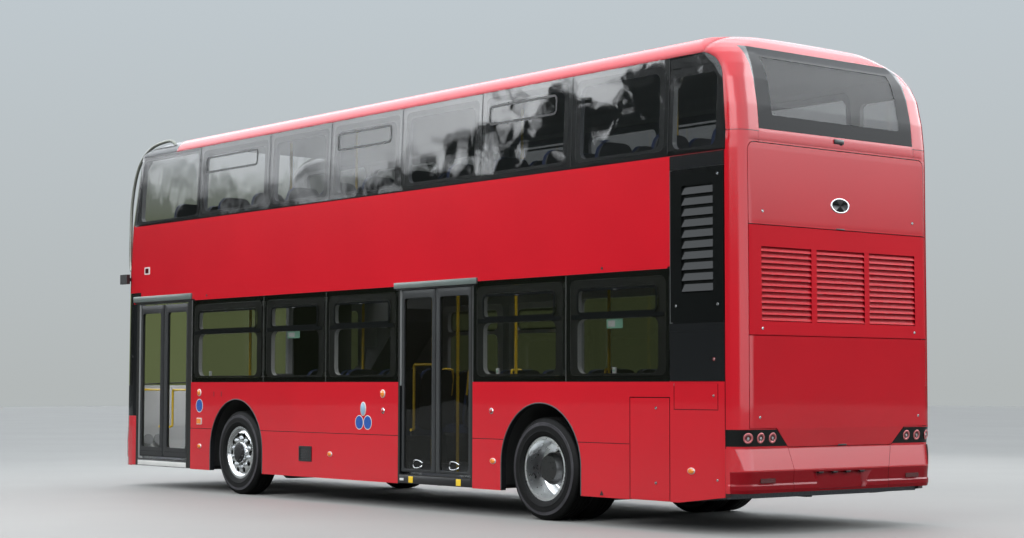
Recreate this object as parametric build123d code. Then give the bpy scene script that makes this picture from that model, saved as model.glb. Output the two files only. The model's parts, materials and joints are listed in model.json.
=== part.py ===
from build123d import *
from math import cos, radians, sin
import os

# A two-axle low-floor double decker bus, in millimetres.
# X runs forward, Y towards the kerb side with the doors, Z up.
# The origin is on the ground under the middle of the body.

os.makedirs("parts", exist_ok=True)

# Overall size
overall_length = 10900
bumper_proud = 20
half_width = 1275
height = 4300
body_back = -overall_length / 2 + bumper_proud
body_front = overall_length / 2 - bumper_proud
wall = 60
pane = 8
seam = 8

# Heights of the body's lines
skirt_z = 256
bumper_top = 725
belt_z = 1290
lower_glass_top = 2260
deck_z = 2330
upper_floor_top = 2400
waist_top = 3235
upper_glass_top = 4100
floor_bottom = 305
floor_top = 345

# Axles and wheels
front_axle_x = 2585
rear_axle_x = -2880
tyre_radius = 478.5
tyre_width = 275
tyre_face_y = 1240
front_tyre_y = tyre_face_y - tyre_width / 2
twin_spacing = 320
rim_radius = 285
arch_radius = 578
arch_centre_z = 510
box_radius = 650
box_wall = 15
box_inner_y = 560
kingpin_y = 930
spindle_radius = 40
bearing_gap = 0.05
hand_hole_count = 10
hand_hole_circle = 205
hand_hole_radius = 29

# Doorways: jambs, sill and header
jamb_gap = 14
leaf_seam = 12
leaf_bottom = 376
leaf_top = 2236
leaf_face_y = 1262
leaf_thick = 36
leaf_stile = 38
leaf_top_rail = 100
leaf_foot_rail = 30
leaf_glass = 8
leaf_rebate = 14
leaf_corner = 20
column_offset = 45
column_y = 1190
column_radius = 16
pivot_radius = 9
guide_radius = 7
arm_reach = 300
arm_z = (2252, 2276)
foot_arm_z = (351, 369)
track_z = (2284, 2314)
sill_z = (262, 345, 352)

# The body seen from above, at each height where its line changes:
# height, step forward of the rear, step of the front, half width, rear corner radius
body_sections = (
    (200, 0, 0, 1275, 180),
    (735, 0, -3, 1275, 180),
    (892, -20, -4, 1275, 180),
    (1900, -20, -10, 1275, 180),
    (2650, -16, -15, 1275, 175),
    (3250, -8, -70, 1275, 160),
    (3400, -4, -95, 1268.4, 150),
    (3630, 16, -133.4, 1258.4, 142),
    (3860, 60, -171.8, 1248.3, 145),
    (3990, 105, -193.5, 1242.6, 195),
    (4090, 168, -210.2, 1238.2, 250),
    (4140, 208, -218.6, 1236.1, 320),
    (4190, 250, -226.9, 1233.9, 420),
    (4240, 300, -235.3, 1231.7, 540),
    (4290, 370, -243.6, 1229.5, 660),
    (4400, 640, -262, 1224.7, 800),
)
front_corner_radius = 250
front_bow = 75
roof_edge_y = 1022
roof_edge_z = 4037
roof_edge_radius = 225


def block(x0, x1, y0, y1, z0, z1):
    """A box between two corners."""
    centre = Pos((x0 + x1) / 2, (y0 + y1) / 2, (z0 + z1) / 2)
    return centre * Box(x1 - x0, y1 - y0, z1 - z0)


def side_run(face, y0, y1):
    """A face drawn in side view (x, z), run across the body from y0 to y1."""
    plane = Plane((0, y0, 0), x_dir=(1, 0, 0), z_dir=(0, -1, 0))
    return extrude(plane * face, y1 - y0, dir=(0, 1, 0))


def side_prism(x0, x1, z0, z1, radius, y0, y1):
    """A rounded rectangle in side view, run across the body."""
    face = RectangleRounded(x1 - x0, z1 - z0, radius)
    return side_run(Pos((x0 + x1) / 2, (z0 + z1) / 2) * face, y0, y1)


def side_outline(points, y0, y1):
    """A polygon in side view (x, z), run across the body."""
    return side_run(make_face(Polyline(*points, close=True)), y0, y1)


def rear_prism(points, x0, x1, top_radius=0):
    """A polygon seen from behind (y, z), run along the body from x0 to x1."""
    face = Plane.YZ.offset(x0) * make_face(Polyline(*points, close=True))
    if top_radius:
        face = fillet(face.vertices().sort_by(Axis.Z)[-2:], top_radius)
    return extrude(face, x1 - x0, dir=(1, 0, 0))


def rod(start, end, radius):
    """A round bar between two points."""
    line = Vector(*end) - Vector(*start)
    plane = Plane(origin=start, z_dir=line)
    return extrude(plane * Circle(radius), line.length)


def across(shape):
    """The same shape on the other side of the bus."""
    return mirror(shape, about=Plane.XZ)


def solids_of(*shapes):
    """All solids of several shapes in one list."""
    return [solid for shape in shapes for solid in shape.solids()]


def save(name, *shapes):
    """Writes one named piece, of one solid or of several that stay apart."""
    export_step(Compound(solids_of(*shapes)), f"parts/{name}.step")


def plan_section(z, back, front, half, rear_corner, inset):
    """The body's outline from above: bowed front, rounded corners."""
    x_back = body_back + back + inset
    x_front = body_front + front - inset
    side = half - inset
    shoulder = x_front - front_bow
    rear = Polyline((shoulder, side), (x_back, side), (x_back, -side), (shoulder, -side))
    bow = ThreePointArc((shoulder, -side), (x_front, 0), (shoulder, side))
    face = make_face(rear + bow)
    corners = face.vertices().sort_by(Axis.X)
    face = fillet(corners[:2], rear_corner - inset)
    corners = face.vertices().sort_by(Axis.X)
    face = fillet(corners[-2:], front_corner_radius - inset)
    return Pos(0, 0, z) * face


def roof_section(inset):
    """The body from behind: a long camber between two rounded roof edges."""
    radius = roof_edge_radius - inset
    turn = 86
    ring = [
        (roof_edge_y + radius * cos(radians(a)), roof_edge_z + radius * sin(radians(a)))
        for a in (0, turn / 2, turn)
    ]
    left = [(-y, z) for y, z in ring]
    sides = Polyline(left[0], (-1400, 4000), (-1400, 100), (1400, 100), (1400, 4000), ring[0])
    camber = ThreePointArc(ring[2], (0, height - inset), left[2])
    outline = sides + ThreePointArc(*ring) + camber + ThreePointArc(*left[::-1])
    return extrude(Plane.YZ.offset(-5700) * make_face(outline), 11400, dir=(1, 0, 0))


def roof_profile(inset):
    """The body from the side: everything behind the front dome and below the roof line."""
    dome = 590 - inset
    dome_x, dome_z = 4700, 3625
    ring = [
        (dome_x + dome * cos(radians(a)), dome_z + dome * sin(radians(a))) for a in (0, 42.5, 85)
    ]
    top_z = height + 1 - inset
    low = Polyline(ring[0], (5600, 3500), (5600, 100), (-5700, 100), (-5700, top_z), (3700, top_z), ring[2])
    outline = low + ThreePointArc(*ring[::-1])
    return side_run(make_face(outline), -1500, 1500)


def envelope(inset):
    """The whole body as one solid, its skin moved inwards by the inset."""
    sections = [plan_section(*row, inset) for row in body_sections]
    return loft(sections, ruled=True) & roof_section(inset) & roof_profile(inset)


outer = envelope(0)
under_glass = envelope(pane)
under_flap = envelope(25)
inner = envelope(wall)
shell = outer - inner
glass_skin = outer - under_glass
frame_skin = under_glass - inner
groove = 4
groove_skin = outer - envelope(groove)

# Window bays of each deck: where a pane starts and ends along the side
lower_bays = (
    (-4626, -3250),
    (-3250, -1858),
    (-616, 727),
    (727, 2000),
    (2000, 3621),
)
offside_bays = (
    (-4626, -3250),
    (-3250, -1906),
    (-1906, -542),
    (-542, 727),
    (727, 2000),
)
upper_bays = (
    (-5302, -4600),
    (-4600, -3309),
    (-3309, -1963),
    (-1963, -633),
    (-633, 687),
    (687, 1937),
    (1937, 3510),
    (3510, 4996),
)
cab_bay = ((3700, 5077),)
cab_belt_z = 1150
pane_gap = 4
bond = 0.1
pane_border = 50
aperture_radius = 70
pane_radius = 14

# Doorways along the nearside: rear jamb, front jamb, outer ends of the portal
doorways = {
    "front_door": (3716, 4926, 3625, 5081),
    "middle_door": (-1828, -646, -1858, -616),
}

# Rear quarter, hatches and flaps
quarter_x = -4630
post_x = -5290
corner_end_x = -5020
louvre_hatch = (-5282, -4638, 1794, 3102)
side_hatch = (-4619, -4121, 262, 1146)
hatch_thick = 25
flap_half = 1140
flap_radius = 70
flap_lines = {
    "rear_top_flap": (2611, 3300),
    "rear_grille_flap": (1679, 2603),
    "rear_bottom_flap": (739, 1671),
}
louvre_depth = 20
blade_thick = 4
grille_centres = (-685, 0, 685)
grille_width = 620
grille_blades = 13
grille_pitch = 48.5
grille_z = (1794, 1794 + grille_blades * grille_pitch)
side_louvre = (-5154, -4772, 2040, 2966)
side_blades = 10

# Edge of the rear window seen from behind: half width at each height
rear_glass_edge = (
    (1000, 3423),
    (1000, 3640),
    (997, 3740),
    (988, 3865),
    (973, 3990),
    (950, 4080),
    (916, 4165),
)
rear_glass_border = 58

# The rear and front bumpers: height, step forward of the rear, step of the front
bumper_rows = (
    (725, 2, 0),
    (547, -20, 20),
    (432, -8, 14),
    (418, -18, 16),
    (385, -18, 14),
    (355, -6, 10),
)
cheek = ((1246, 726), (1189, 547))
plate_half = 285
plate_z = (372, 520)
plate_wing = 400
lamp_centres = (1163, 1010, 862)
lamp_z = 815
lamp_radius = 56
headlamp_centres = (760, 920)
headlamp_z = 560
headlamp_radius = 70


# Front of the body: windscreen, sign pane and the upper screen that runs into the roof
screen_z = (1250, 2400)
pillar_y = 1130
sign_half = 900
sign_z = (2480, 2920)
upper_screen_z = waist_top + 15
dome_back = 4110
horn_y = 1080
horn_root = 140

# Branch guard in side view: x and height of its tube, from its foot up and over the roof edge
guard_line = (
    (5400, 2700),
    (5421, 2800),
    (5424, 3100),
    (5420, 3380),
    (5363, 3725),
    (5186, 4060),
    (5021, 4176),
    (4808, 4250),
    (4579, 4273),
    (4385, 4264),
    (4287, 4205),
)
guard_y = 1150
guard_radius = 20

# Underframe
rail_y = 400
rail_width = 70
rail_bottom = 245
rail_ends = (-4700, 5000)
bearer_stations = (-4665, -4300, -3700, -2000, -1232, -200, 700, 1700, 3400, 4321, 4900)
bearer_width = 60
bearer_half = 1210
bearer_bottom = 255

# Bulkhead, and the staircase climbing rearwards on the offside
bulkhead_x = (-4660, -4635)
stair_steps = 9
stair_going = 230
stair_start = 3850
stair_sides = (-1214, -610)
stairwell = (1990, 3340, -1300, -600)

# A seat from the side: distance ahead of its back's foot, height above the floor
seat_outline = (
    (150, 0),
    (250, 0),
    (250, 360),
    (430, 380),
    (455, 425),
    (440, 470),
    (70, 450),
    (-50, 1060),
    (-75, 1085),
    (-105, 1080),
    (-120, 1050),
    (-20, 390),
    (150, 360),
)
seat_width = 880
seat_y = 755

# Seat rows of each deck: x of the backs on the nearside, then on the offside
lower_rows = ((-200, 560, 1320), (-4450, -1900, -1140, -380, 380, 1140))
upper_rows = ((-5000, -4250, -3500, -2750, -2000, -1250, -500, 250, 1000, 1750, 2500, 3250, 4300),
              (-5000, -4250, -3500, -2750, -2000, -1250, -500, 250, 1000, 4300))

# Poles of each deck: x and y
pole_radius = 16
lower_poles = ((-500, 420), (700, 290), (1450, 290), (-2100, -290), (-600, -290), (900, -290), (3560, 500))
upper_poles = ((-3700, 290), (-3700, -290), (-700, 290), (-700, -290), (1600, 290), (3000, 290))

# The driver's place
cab_back_x = 3900
cab_side_y = -340
cab_screen = 30
cab_door_end = (4700, 1400)
desk_outline = ((4750, 900), (4750, 1000), (4900, 1120), (5150, 1120), (5150, floor_top), (5000, floor_top))
driver_seat_outline = ((4050, floor_top), (4350, floor_top), (4350, 760), (4530, 800), (4530, 880),
                       (4130, 870), (4060, 1560), (3990, 1560), (4010, 760), (4050, 760))
driver_seat_y = (-1000, -560)
steering_centre = (4640, -780, 1120)
steering_foot = (4800, -780, 960)
steering_normal = (-0.45, 0, 0.9)
steering_radius = 220
steering_grip = 15

# The front beam seen from the front, and the cranked rear axle
kingpin_z = (400, 556)
kingpin_radius = 22
kingpin_boss = 55
beam_width = 90
beam_outline = (
    (0, 165),
    (560, 165),
    (850, 400),
    (kingpin_y, 400),
    (kingpin_y, 556),
    (850, 556),
    (600, 245),
    (0, 245),
)
lug_z = (372, 584)
lug_thick = 26
lug_radius = 45
plate_y = (990, 1012)
rear_beam_z = (165, 245)
rear_leg_top = 570
rear_spindle_radius = 50

# The rear end of the upper window band in side view, rounded into the roof line
band_end = ((-5303, 3400), (-5257, 3820), (-5248, 3885), (-5225, 3947), (-5188, 4002), (-5140, 4047),
            (-5083, 4080), (corner_end_x, upper_glass_top))

# The upper side wall seen from behind: half width and height
upper_side = ((half_width, waist_top), (half_width, 3250), (1268.4, 3400), (1237.8, upper_glass_top))


def upper_band(x_front, z_low, shift):
    """The upper window band in side view, behind x_front."""
    rear = [(x + shift, z) for x, z in band_end]
    front = [(x_front, upper_glass_top), (x_front, z_low), (rear[0][0], z_low)]
    return side_outline(rear + front, 1100, 1400)


def upper_corner():
    """The red rear corner of the upper deck in side view, behind the last side pane."""
    low = [(-5600, waist_top), (band_end[0][0], waist_top)]
    high = [(corner_end_x, 4500), (-5600, 4500)]
    return side_outline([*low, *band_end, *high], -1500, 1500)


def lower_panes(bays, z0, z1):
    """The flush panes of one row of lower windows, on the nearside."""
    return [
        side_prism(x0 + pane_gap, x1 - pane_gap, z0, z1, pane_radius, half_width - pane, half_width)
        for x0, x1 in bays
    ]


def upper_panes():
    """The flush upper panes of the nearside, the last of them rounded into the rear corner."""
    outline = [*upper_side, *[(y - pane + bond, z) for y, z in upper_side[::-1]]]
    skin = rear_prism(outline, upper_bays[1][0], upper_bays[-1][1])
    panes = [glass_skin & upper_band(upper_bays[0][1] - pane_gap, waist_top + 5, pane_gap)]
    for x0, x1 in upper_bays[1:]:
        prism = side_prism(x0 + pane_gap, x1 - pane_gap, waist_top + 5, upper_glass_top,
                           pane_radius, 1100, 1300)
        curved_end = x1 > 4900
        panes.append(prism & (glass_skin if curved_end else skin))
    return panes


def apertures(bays, z0, z1):
    """The holes through the wall behind the panes of one row."""
    edge = pane_gap + pane_border
    return [
        side_prism(x0 + edge, x1 - edge, z0 + pane_border, z1 - pane_border, aperture_radius, 1100, 1400)
        for x0, x1 in bays
    ]


def wheel_arch(x):
    """The cut of one wheel arch through a side wall."""
    round_top = side_run(Pos(x, arch_centre_z) * Circle(arch_radius), 1100, 1400)
    return round_top + block(x - arch_radius, x + arch_radius, 1100, 1400, 0, arch_centre_z)


def lower_wall(x0, x1, bays, arches):
    """One stretch of lower-deck side wall on the nearside."""
    body = block(x0, x1, half_width - wall, half_width, skirt_z, deck_z)
    if bays:
        band = block(bays[0][0], bays[-1][1], half_width - pane, 1300, belt_z - pane_gap,
                     lower_glass_top + pane_gap)
        body = body - [band, *apertures(bays, belt_z, lower_glass_top)]
    for x in arches:
        body = body - wheel_arch(x)
    return body


skirt_seam_z = 740


def skirt_groove(x0, x1):
    """The joint along the skirt between two places, on the nearside."""
    return block(x0, x1, half_width - groove, 1300, skirt_seam_z - groove / 2, skirt_seam_z + groove / 2)


def hatch_recess(hatch, shelf):
    """The step that a side hatch lies in, and the hole behind it inside a shelf."""
    x0, x1, z0, z1 = hatch
    bed = half_width - hatch_thick - 6
    step = block(x0 - seam, x1 + seam, bed, 1300, z0 - seam, z1 + seam)
    return step + block(x0 + shelf, x1 - shelf, 1200, 1300, z0 + shelf, z1 - shelf)


def make_sides():
    """Lower walls, waist panels, upper walls and all side panes."""
    nose_x = doorways["front_door"][3]
    rear_wall = lower_wall(quarter_x, doorways["middle_door"][2], lower_bays[:2], (rear_axle_x,))
    rear_wall = rear_wall - hatch_recess(side_hatch, 30) - skirt_groove(side_hatch[1] + seam, 0)
    middle_wall = lower_wall(doorways["middle_door"][3], doorways["front_door"][2], lower_bays[2:],
                             (front_axle_x,))
    middle_wall = middle_wall - skirt_groove(-1000, nose_x)
    save("nearside_lower_wall", rear_wall, middle_wall)

    offside = lower_wall(quarter_x, nose_x, offside_bays, (rear_axle_x, front_axle_x))
    cab = block(*cab_bay[0], half_width - pane, 1300, cab_belt_z - pane_gap, lower_glass_top + pane_gap)
    offside = offside - [cab, *apertures(cab_bay, cab_belt_z, lower_glass_top)]
    save("offside_lower_wall", across(offside - skirt_groove(quarter_x + 30, nose_x)))

    waist = block(quarter_x, nose_x, half_width - wall, half_width, deck_z, waist_top)
    save("nearside_waist_panel", waist)
    save("offside_waist_panel", across(waist))

    upper = frame_skin & upper_band(5000, waist_top, 0)
    last_x = upper_bays[0][1] - pane_gap - pane_border
    last = side_prism(band_end[0][0] + 123, last_x, waist_top + pane_border + 5, 3920, aperture_radius,
                      1100, 1400)
    upper = upper - [last, *apertures(upper_bays[1:], waist_top + 5, upper_glass_top)]
    save("nearside_upper_wall", upper)
    save("offside_upper_wall", across(upper))

    top_row = upper_panes()
    near = lower_panes(lower_bays, belt_z, lower_glass_top)
    off = lower_panes(offside_bays, belt_z, lower_glass_top)
    off += lower_panes(cab_bay, cab_belt_z, lower_glass_top)
    save("nearside_windows", *near, *top_row)
    save("offside_windows", *[across(pane_solid) for pane_solid in off + top_row])


def full_width(x0, x1, z0, z1):
    """A slab right across the body, to cut or keep a stretch of it."""
    return block(x0, x1, -1400, 1400, z0, z1)


def make_front():
    """Front panels, pillars, roof and the three front panes."""
    nose_x = doorways["front_door"][3]
    ahead = full_width(nose_x, 5600, 0, 5000)
    base, top = screen_z
    lower = shell & ahead & full_width(5000, 5600, bumper_top, base)
    pillars = frame_skin & ahead & full_width(5000, 5600, base, top)
    pillars = pillars - block(5000, 5600, -pillar_y, pillar_y, base - 1, top + 1)
    save("front_lower_panel", lower + pillars)

    sign = block(5000, 5600, -sign_half, sign_half, *sign_z)
    waist = shell & ahead & full_width(5000, 5600, top, upper_screen_z)
    save("front_waist_panel", waist - (glass_skin & sign))

    gap = pane_gap
    sign_edge = sign_half - gap
    screens = [
        glass_skin & full_width(nose_x + gap, 5600, base + gap, top - gap),
        glass_skin & block(5000, 5600, -sign_edge, sign_edge, sign_z[0] + gap, sign_z[1] - gap),
    ]
    dome = full_width(5000, 5600, upper_screen_z + gap, upper_glass_top + 5)
    dome = dome + full_width(dome_back + gap, 5600, upper_glass_top + gap, 4500)
    screens.append(glass_skin & dome)
    save("windscreens", *screens)

    horns = full_width(5000, 5600, upper_screen_z, upper_glass_top)
    horns = frame_skin & (horns + full_width(dome_back, 5600, upper_glass_top, 4500))
    horns = horns - block(dome_back + horn_root, 5600, -horn_y, horn_y, waist_top, 4500)
    roof = shell & full_width(corner_end_x, dome_back, upper_glass_top, 4500)
    save("roof", roof + horns)


def make_rear():
    """Rear frame with its quarter panels, bumpers, lamps, glass and flaps."""
    rear = block(-5500, quarter_x, -1400, 1400, 725, waist_top)
    rear = rear + block(post_x, quarter_x, -1400, 1400, skirt_z, 725)
    frame = (shell & rear) + (shell & upper_corner())

    opening = [(flap_half + 6, 3308), (flap_half + 6, 892), (830, 892), (672, 733)]
    frame = frame - rear_prism(both_halves(opening), -5600, body_back + hatch_thick + 12, flap_radius + 6)
    for z0, z1 in ((800, 1630), (1720, 2560), (2650, 3240)):
        half = 640 if z0 < 892 else 1080
        frame = frame - block(-5600, -5300, -half, half, z0, z1)
    rear_glass = glass_skin & rear_prism(both_halves(rear_glass_edge), -5600, -5100)
    hole = [(y - rear_glass_border, z) for y, z in rear_glass_edge[:-1]]
    hole[0] = (hole[0][0], rear_glass_edge[0][1] + rear_glass_border)
    hole.append((hole[-1][0] - 20, rear_glass_edge[-1][1] - rear_glass_border))
    frame = frame - rear_glass - rear_prism(both_halves(hole), -5600, -4900)
    save("rear_window", rear_glass)

    rise = [(-4730, skirt_z), (-4730, 100), (post_x - 5, 100), (post_x - 5, 323)]
    frame = frame - side_outline(rise, -1400, 1400)
    frame = frame - hatch_recess(louvre_hatch, 40)
    lamp_outline = [(1300, 745), (1300, 886), (824, 886), (674, 745)]
    lamps = glass_skin & rear_prism(lamp_outline, -5600, post_x)
    for y in lamp_centres:
        lamp = rod((body_back + 50, y, lamp_z), (body_back - 30, y, lamp_z), lamp_radius)
        lamps = lamps + (lamp & outer)
    frame = frame - lamps - across(lamps)
    save("tail_lamps", lamps, across(lamps))
    frame = frame - (groove_skin & frame_grooves())
    save("rear_frame", frame)


def both_halves(points):
    """The outline of a symmetric shape from its half drawn at positive y."""
    return [*points, *[(-y, z) for y, z in points[::-1]]]


def frame_grooves():
    """Panel joints of the rear frame: across the posts, beside the glass and round the quarters."""
    line = groove / 2
    z_post = rear_glass_edge[0][1] - 23
    marks = [block(-5600, band_end[0][0], 1000, 1400, z_post - line, z_post + line)]
    marks.append(block(-5600, -5300, 1010 - line, 1010 + line, 3308, z_post))
    marks.append(block(post_x - line, post_x + line, 1200, 1400, skirt_z, z_post))
    for z in (1290, 1714, waist_top - 5):
        marks.append(block(post_x, quarter_x, 1200, 1400, z - line, z + line))
    marks += panel_outline(-5206, -4678, 1049, 1272, 8)
    return Part() + marks + [across(mark) for mark in marks]


def panel_outline(x0, x1, z0, z1, radius):
    """The joint round a small flap in the nearside skin."""
    line = groove / 2
    outside = side_prism(x0 - line, x1 + line, z0 - line, z1 + line, radius + line, 1200, 1400)
    return [outside - side_prism(x0 + line, x1 - line, z0 + line, z1 - line, radius - line, 1190, 1410)]


def bumper_body(rows, inset):
    """A bumper as a solid through its rows of sections."""
    sections = [plan_section(z, back, front, half_width, 180, inset) for z, back, front in rows]
    return loft(sections, ruled=True)


def make_bumpers():
    """Bumpers with a sloping upper face between two cheeks, a lower lip and the plate recess."""
    top, crease = bumper_rows[:2]
    faceted = bumper_body(bumper_rows[:2], 0)
    upright = bumper_body(((top[0], crease[1], top[2]), crease), 0)
    middle = rear_prism(both_halves(cheek), -5700, 5700)
    upper = (faceted & middle) + (upright - middle)
    upper = upper - bumper_body(bumper_rows[:2], wall)
    lower = bumper_body(bumper_rows[1:], 0) - bumper_body(bumper_rows[1:], wall)
    ring = upper + lower

    rear_bumper = ring & block(-5600, post_x, -1400, 1400, 0, 1000)
    mouth_edge = both_halves([(plate_wing, plate_z[1]), (plate_half + 15, plate_z[0])])
    mouth = make_face(Polyline(*mouth_edge, close=True))
    floor_face = Pos(0, sum(plate_z) / 2) * Rectangle(2 * plate_half, plate_z[1] - plate_z[0])
    recess = loft([Plane.YZ.offset(-5452) * mouth, Plane.YZ.offset(-5408) * floor_face], ruled=True)
    rear_bumper = rear_bumper - recess
    for side in (1, -1):
        seam_line = [(660, 726), (664, 726), (614, 547), (614, 354), (610, 354), (610, 547)]
        cut = rear_prism([(side * y, z) for y, z in seam_line], -5600, -5422)
        rear_bumper = rear_bumper - cut

    nose_x = doorways["front_door"][3]
    front_bumper = ring & block(nose_x, 5600, -1400, 1400, 0, 1000)
    front_cap = shell & block(nose_x, 5600, -1400, 1400, skirt_z, bumper_rows[-1][0])
    front_bumper = front_bumper + front_cap
    lamps = []
    for y in headlamp_centres:
        for side in (1, -1):
            middle = (5320, side * y, headlamp_z)
            end = (5500, side * y, headlamp_z)
            lamps.append(bumper_body(bumper_rows[:3], 0) & rod(middle, end, headlamp_radius - 0.3))
            front_bumper = front_bumper - rod(middle, end, headlamp_radius)
    save("headlamps", *lamps)
    save("bumpers", rear_bumper, front_bumper)


def make_flaps():
    """Three rear flaps hinged at their top edges, and the two side hatches."""
    for name, (z0, z1) in flap_lines.items():
        outline = [(flap_half, z1), (flap_half, z0)]
        if name == "rear_bottom_flap":
            outline = [(flap_half, z1), (flap_half, 898), (824, 898), (666, z0)]
        corner = flap_radius if name == "rear_top_flap" else 0
        flap = (outer - under_flap) & rear_prism(both_halves(outline), -5600, -5200, corner)
        if name == "rear_grille_flap":
            skin_x = body_back - bumper_proud
            blades = []
            for y in grille_centres:
                half = grille_width / 2
                flap = flap - block(-5600, skin_x + louvre_depth, y - half, y + half, *grille_z)
                for i in range(grille_blades):
                    z = grille_z[0] + grille_pitch * (i + 0.5)
                    place = Pos(skin_x + 12, y, z) * Rot(0, -62, 0)
                    blades.append(place * Box(40, grille_width + 2, blade_thick))
            flap = flap + blades
        save(name, flap)

    x0, x1, z0, z1 = louvre_hatch
    hatch = block(x0, x1, half_width - hatch_thick, half_width, z0, z1)
    x0, x1, z0, z1 = side_louvre
    hatch = hatch - side_prism(x0, x1, z0, z1, 25, half_width - louvre_depth, 1300)
    pitch = (z1 - z0) / side_blades
    blades = []
    for i in range(side_blades):
        place = Pos((x0 + x1) / 2, half_width - 12, z0 + pitch * (i + 0.5)) * Rot(-74, 0, 0)
        blades.append(place * Box(x1 - x0 + 2, 66, blade_thick))
    save("louvre_hatch", hatch + blades)

    x0, x1, z0, z1 = side_hatch
    save("side_hatch", block(x0, x1, half_width - hatch_thick, half_width, z0, z1))


def make_floors():
    """Underframe, both floors, wheel boxes, bulkhead and staircase."""
    frame = []
    for y in (-rail_y, rail_y):
        frame.append(block(*rail_ends, y - rail_width / 2, y + rail_width / 2, rail_bottom, floor_bottom))
    for x in bearer_stations:
        half = bearer_width / 2
        frame.append(block(x - half, x + half, -bearer_half, bearer_half, bearer_bottom, floor_bottom))
    save("underframe", Part() + frame)

    floor = inner & full_width(-5250, 5200, floor_bottom, floor_top)
    for x in (front_axle_x, rear_axle_x):
        notch = block(x - box_radius, x + box_radius, box_inner_y, 1300, 0, 500)
        floor = floor - notch - across(notch)
    save("lower_floor", floor)

    boxes = []
    for x in (front_axle_x, rear_axle_x):
        inside = half_width - wall
        outline = Circle(box_radius) + Pos(0, -200) * Rectangle(2 * box_radius, 400)
        outline = outline & Pos(0, 400) * Rectangle(2000, 2 * (400 + tyre_radius - floor_bottom))
        hollow_radius = box_radius - box_wall
        hollow = Circle(hollow_radius) + Pos(0, -300) * Rectangle(2 * hollow_radius, 600)
        place = Pos(x, tyre_radius)
        box = side_run(place * outline, box_inner_y, inside)
        box = box - side_run(place * hollow, box_inner_y + box_wall, inside)
        boxes += [box, across(box)]
    save("wheel_boxes", *boxes)

    upper = inner & full_width(-5350, 5400, deck_z, upper_floor_top)
    upper = upper - block(*stairwell, deck_z - 1, upper_floor_top + 1)
    save("upper_floor", upper)
    save("rear_bulkhead", inner & full_width(*bulkhead_x, floor_top, deck_z))

    rise = (upper_floor_top - floor_top) / stair_steps
    outline = [(stair_start, floor_top)]
    for i in range(stair_steps - 1):
        x = stair_start - stair_going * i
        z = floor_top + rise * (i + 1)
        outline += [(x, z), (x - stair_going, z)]
    end = stair_start - stair_going * (stair_steps - 1)
    outline += [(end, outline[-1][1] - 150), (stair_start - 160, floor_top)]
    save("staircase", side_outline(outline, *stair_sides))


def seat_pair(x, y, z):
    """A double seat facing forward on a pedestal, its back at x."""
    points = [(x + u, z + w) for u, w in seat_outline]
    return side_outline(points, y - seat_width / 2, y + seat_width / 2)


def make_interior():
    """Seats, poles and the driver's place."""
    decks = (("lower_seats", lower_rows, floor_top), ("upper_seats", upper_rows, upper_floor_top))
    for name, rows, z in decks:
        seats = []
        for y, backs in zip((seat_y, -seat_y), rows):
            seats += [seat_pair(x, y, z) for x in backs]
        save(name, *seats)

    poles = [rod((x, y, floor_top), (x, y, deck_z), pole_radius) for x, y in lower_poles]
    poles += [rod((x, y, upper_floor_top), (x, y, height), pole_radius) & inner for x, y in upper_poles]
    save("grab_poles", *poles)

    side = half_width - wall - 1
    cab = block(cab_back_x, cab_back_x + cab_screen, -side, cab_side_y, floor_top, deck_z)
    cab = cab + block(cab_back_x + cab_screen, cab_door_end[0], cab_side_y - cab_screen, cab_side_y,
                      floor_top, cab_door_end[1])
    desk = side_outline(desk_outline, -1150, cab_side_y) & inner
    seat = side_outline(driver_seat_outline, *driver_seat_y)
    wheel_plane = Plane(origin=steering_centre, z_dir=steering_normal)
    wheel = wheel_plane * Torus(steering_radius, steering_grip)
    span = 2 * steering_radius - 10
    wheel = wheel + wheel_plane * Box(30, span, 12) + wheel_plane * Box(span, 30, 12)
    stem = rod(steering_centre, steering_foot, 30)
    save("driver_cab", cab & inner, seat, desk + stem + wheel)
    save("battery_pack", block(-5330, -4700, -900, 900, floor_top, 2150))


def make_axles():
    """Dropped front beam with kingpin eyes, portal rear axle, and the knuckles."""
    half_beam = rear_prism(beam_outline, front_axle_x - beam_width / 2, front_axle_x + beam_width / 2)
    beam = half_beam + across(half_beam)
    for y in (-kingpin_y, kingpin_y):
        beam = beam + rod((front_axle_x, y, kingpin_z[0]), (front_axle_x, y, kingpin_z[1]), kingpin_boss)
        beam = beam - rod((front_axle_x, y, 300), (front_axle_x, y, 600), kingpin_radius + bearing_gap)
    save("front_axle", beam)

    leg_y = box_inner_y + 20
    low, high = rear_beam_z
    leg = block(rear_axle_x - 100, rear_axle_x + 100, leg_y, leg_y + 50, low, rear_leg_top)
    start = (rear_axle_x, leg_y + 50, tyre_radius)
    spindle = rod(start, (rear_axle_x, 1165, tyre_radius), rear_spindle_radius)
    centre = block(rear_axle_x - 90, rear_axle_x + 90, -leg_y, leg_y, low, high)
    save("rear_axle", centre + leg + across(leg) + spindle + across(spindle))

    low, high = lug_z
    knuckle = block(front_axle_x - 60, front_axle_x + 60, *plate_y, low, high)
    for z in (low, high - lug_thick):
        lug = block(front_axle_x - lug_radius, front_axle_x + lug_radius, kingpin_y, plate_y[1], z,
                    z + lug_thick)
        eye = rod((front_axle_x, kingpin_y, z), (front_axle_x, kingpin_y, z + lug_thick), lug_radius)
        knuckle = knuckle + lug + eye
    knuckle = knuckle + rod((front_axle_x, kingpin_y, low), (front_axle_x, kingpin_y, high), kingpin_radius)
    start = (front_axle_x, plate_y[1], tyre_radius)
    knuckle = knuckle + rod(start, (front_axle_x, 1190, tyre_radius), spindle_radius)
    save("front_left_knuckle", knuckle)
    save("front_right_knuckle", across(knuckle))


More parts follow.
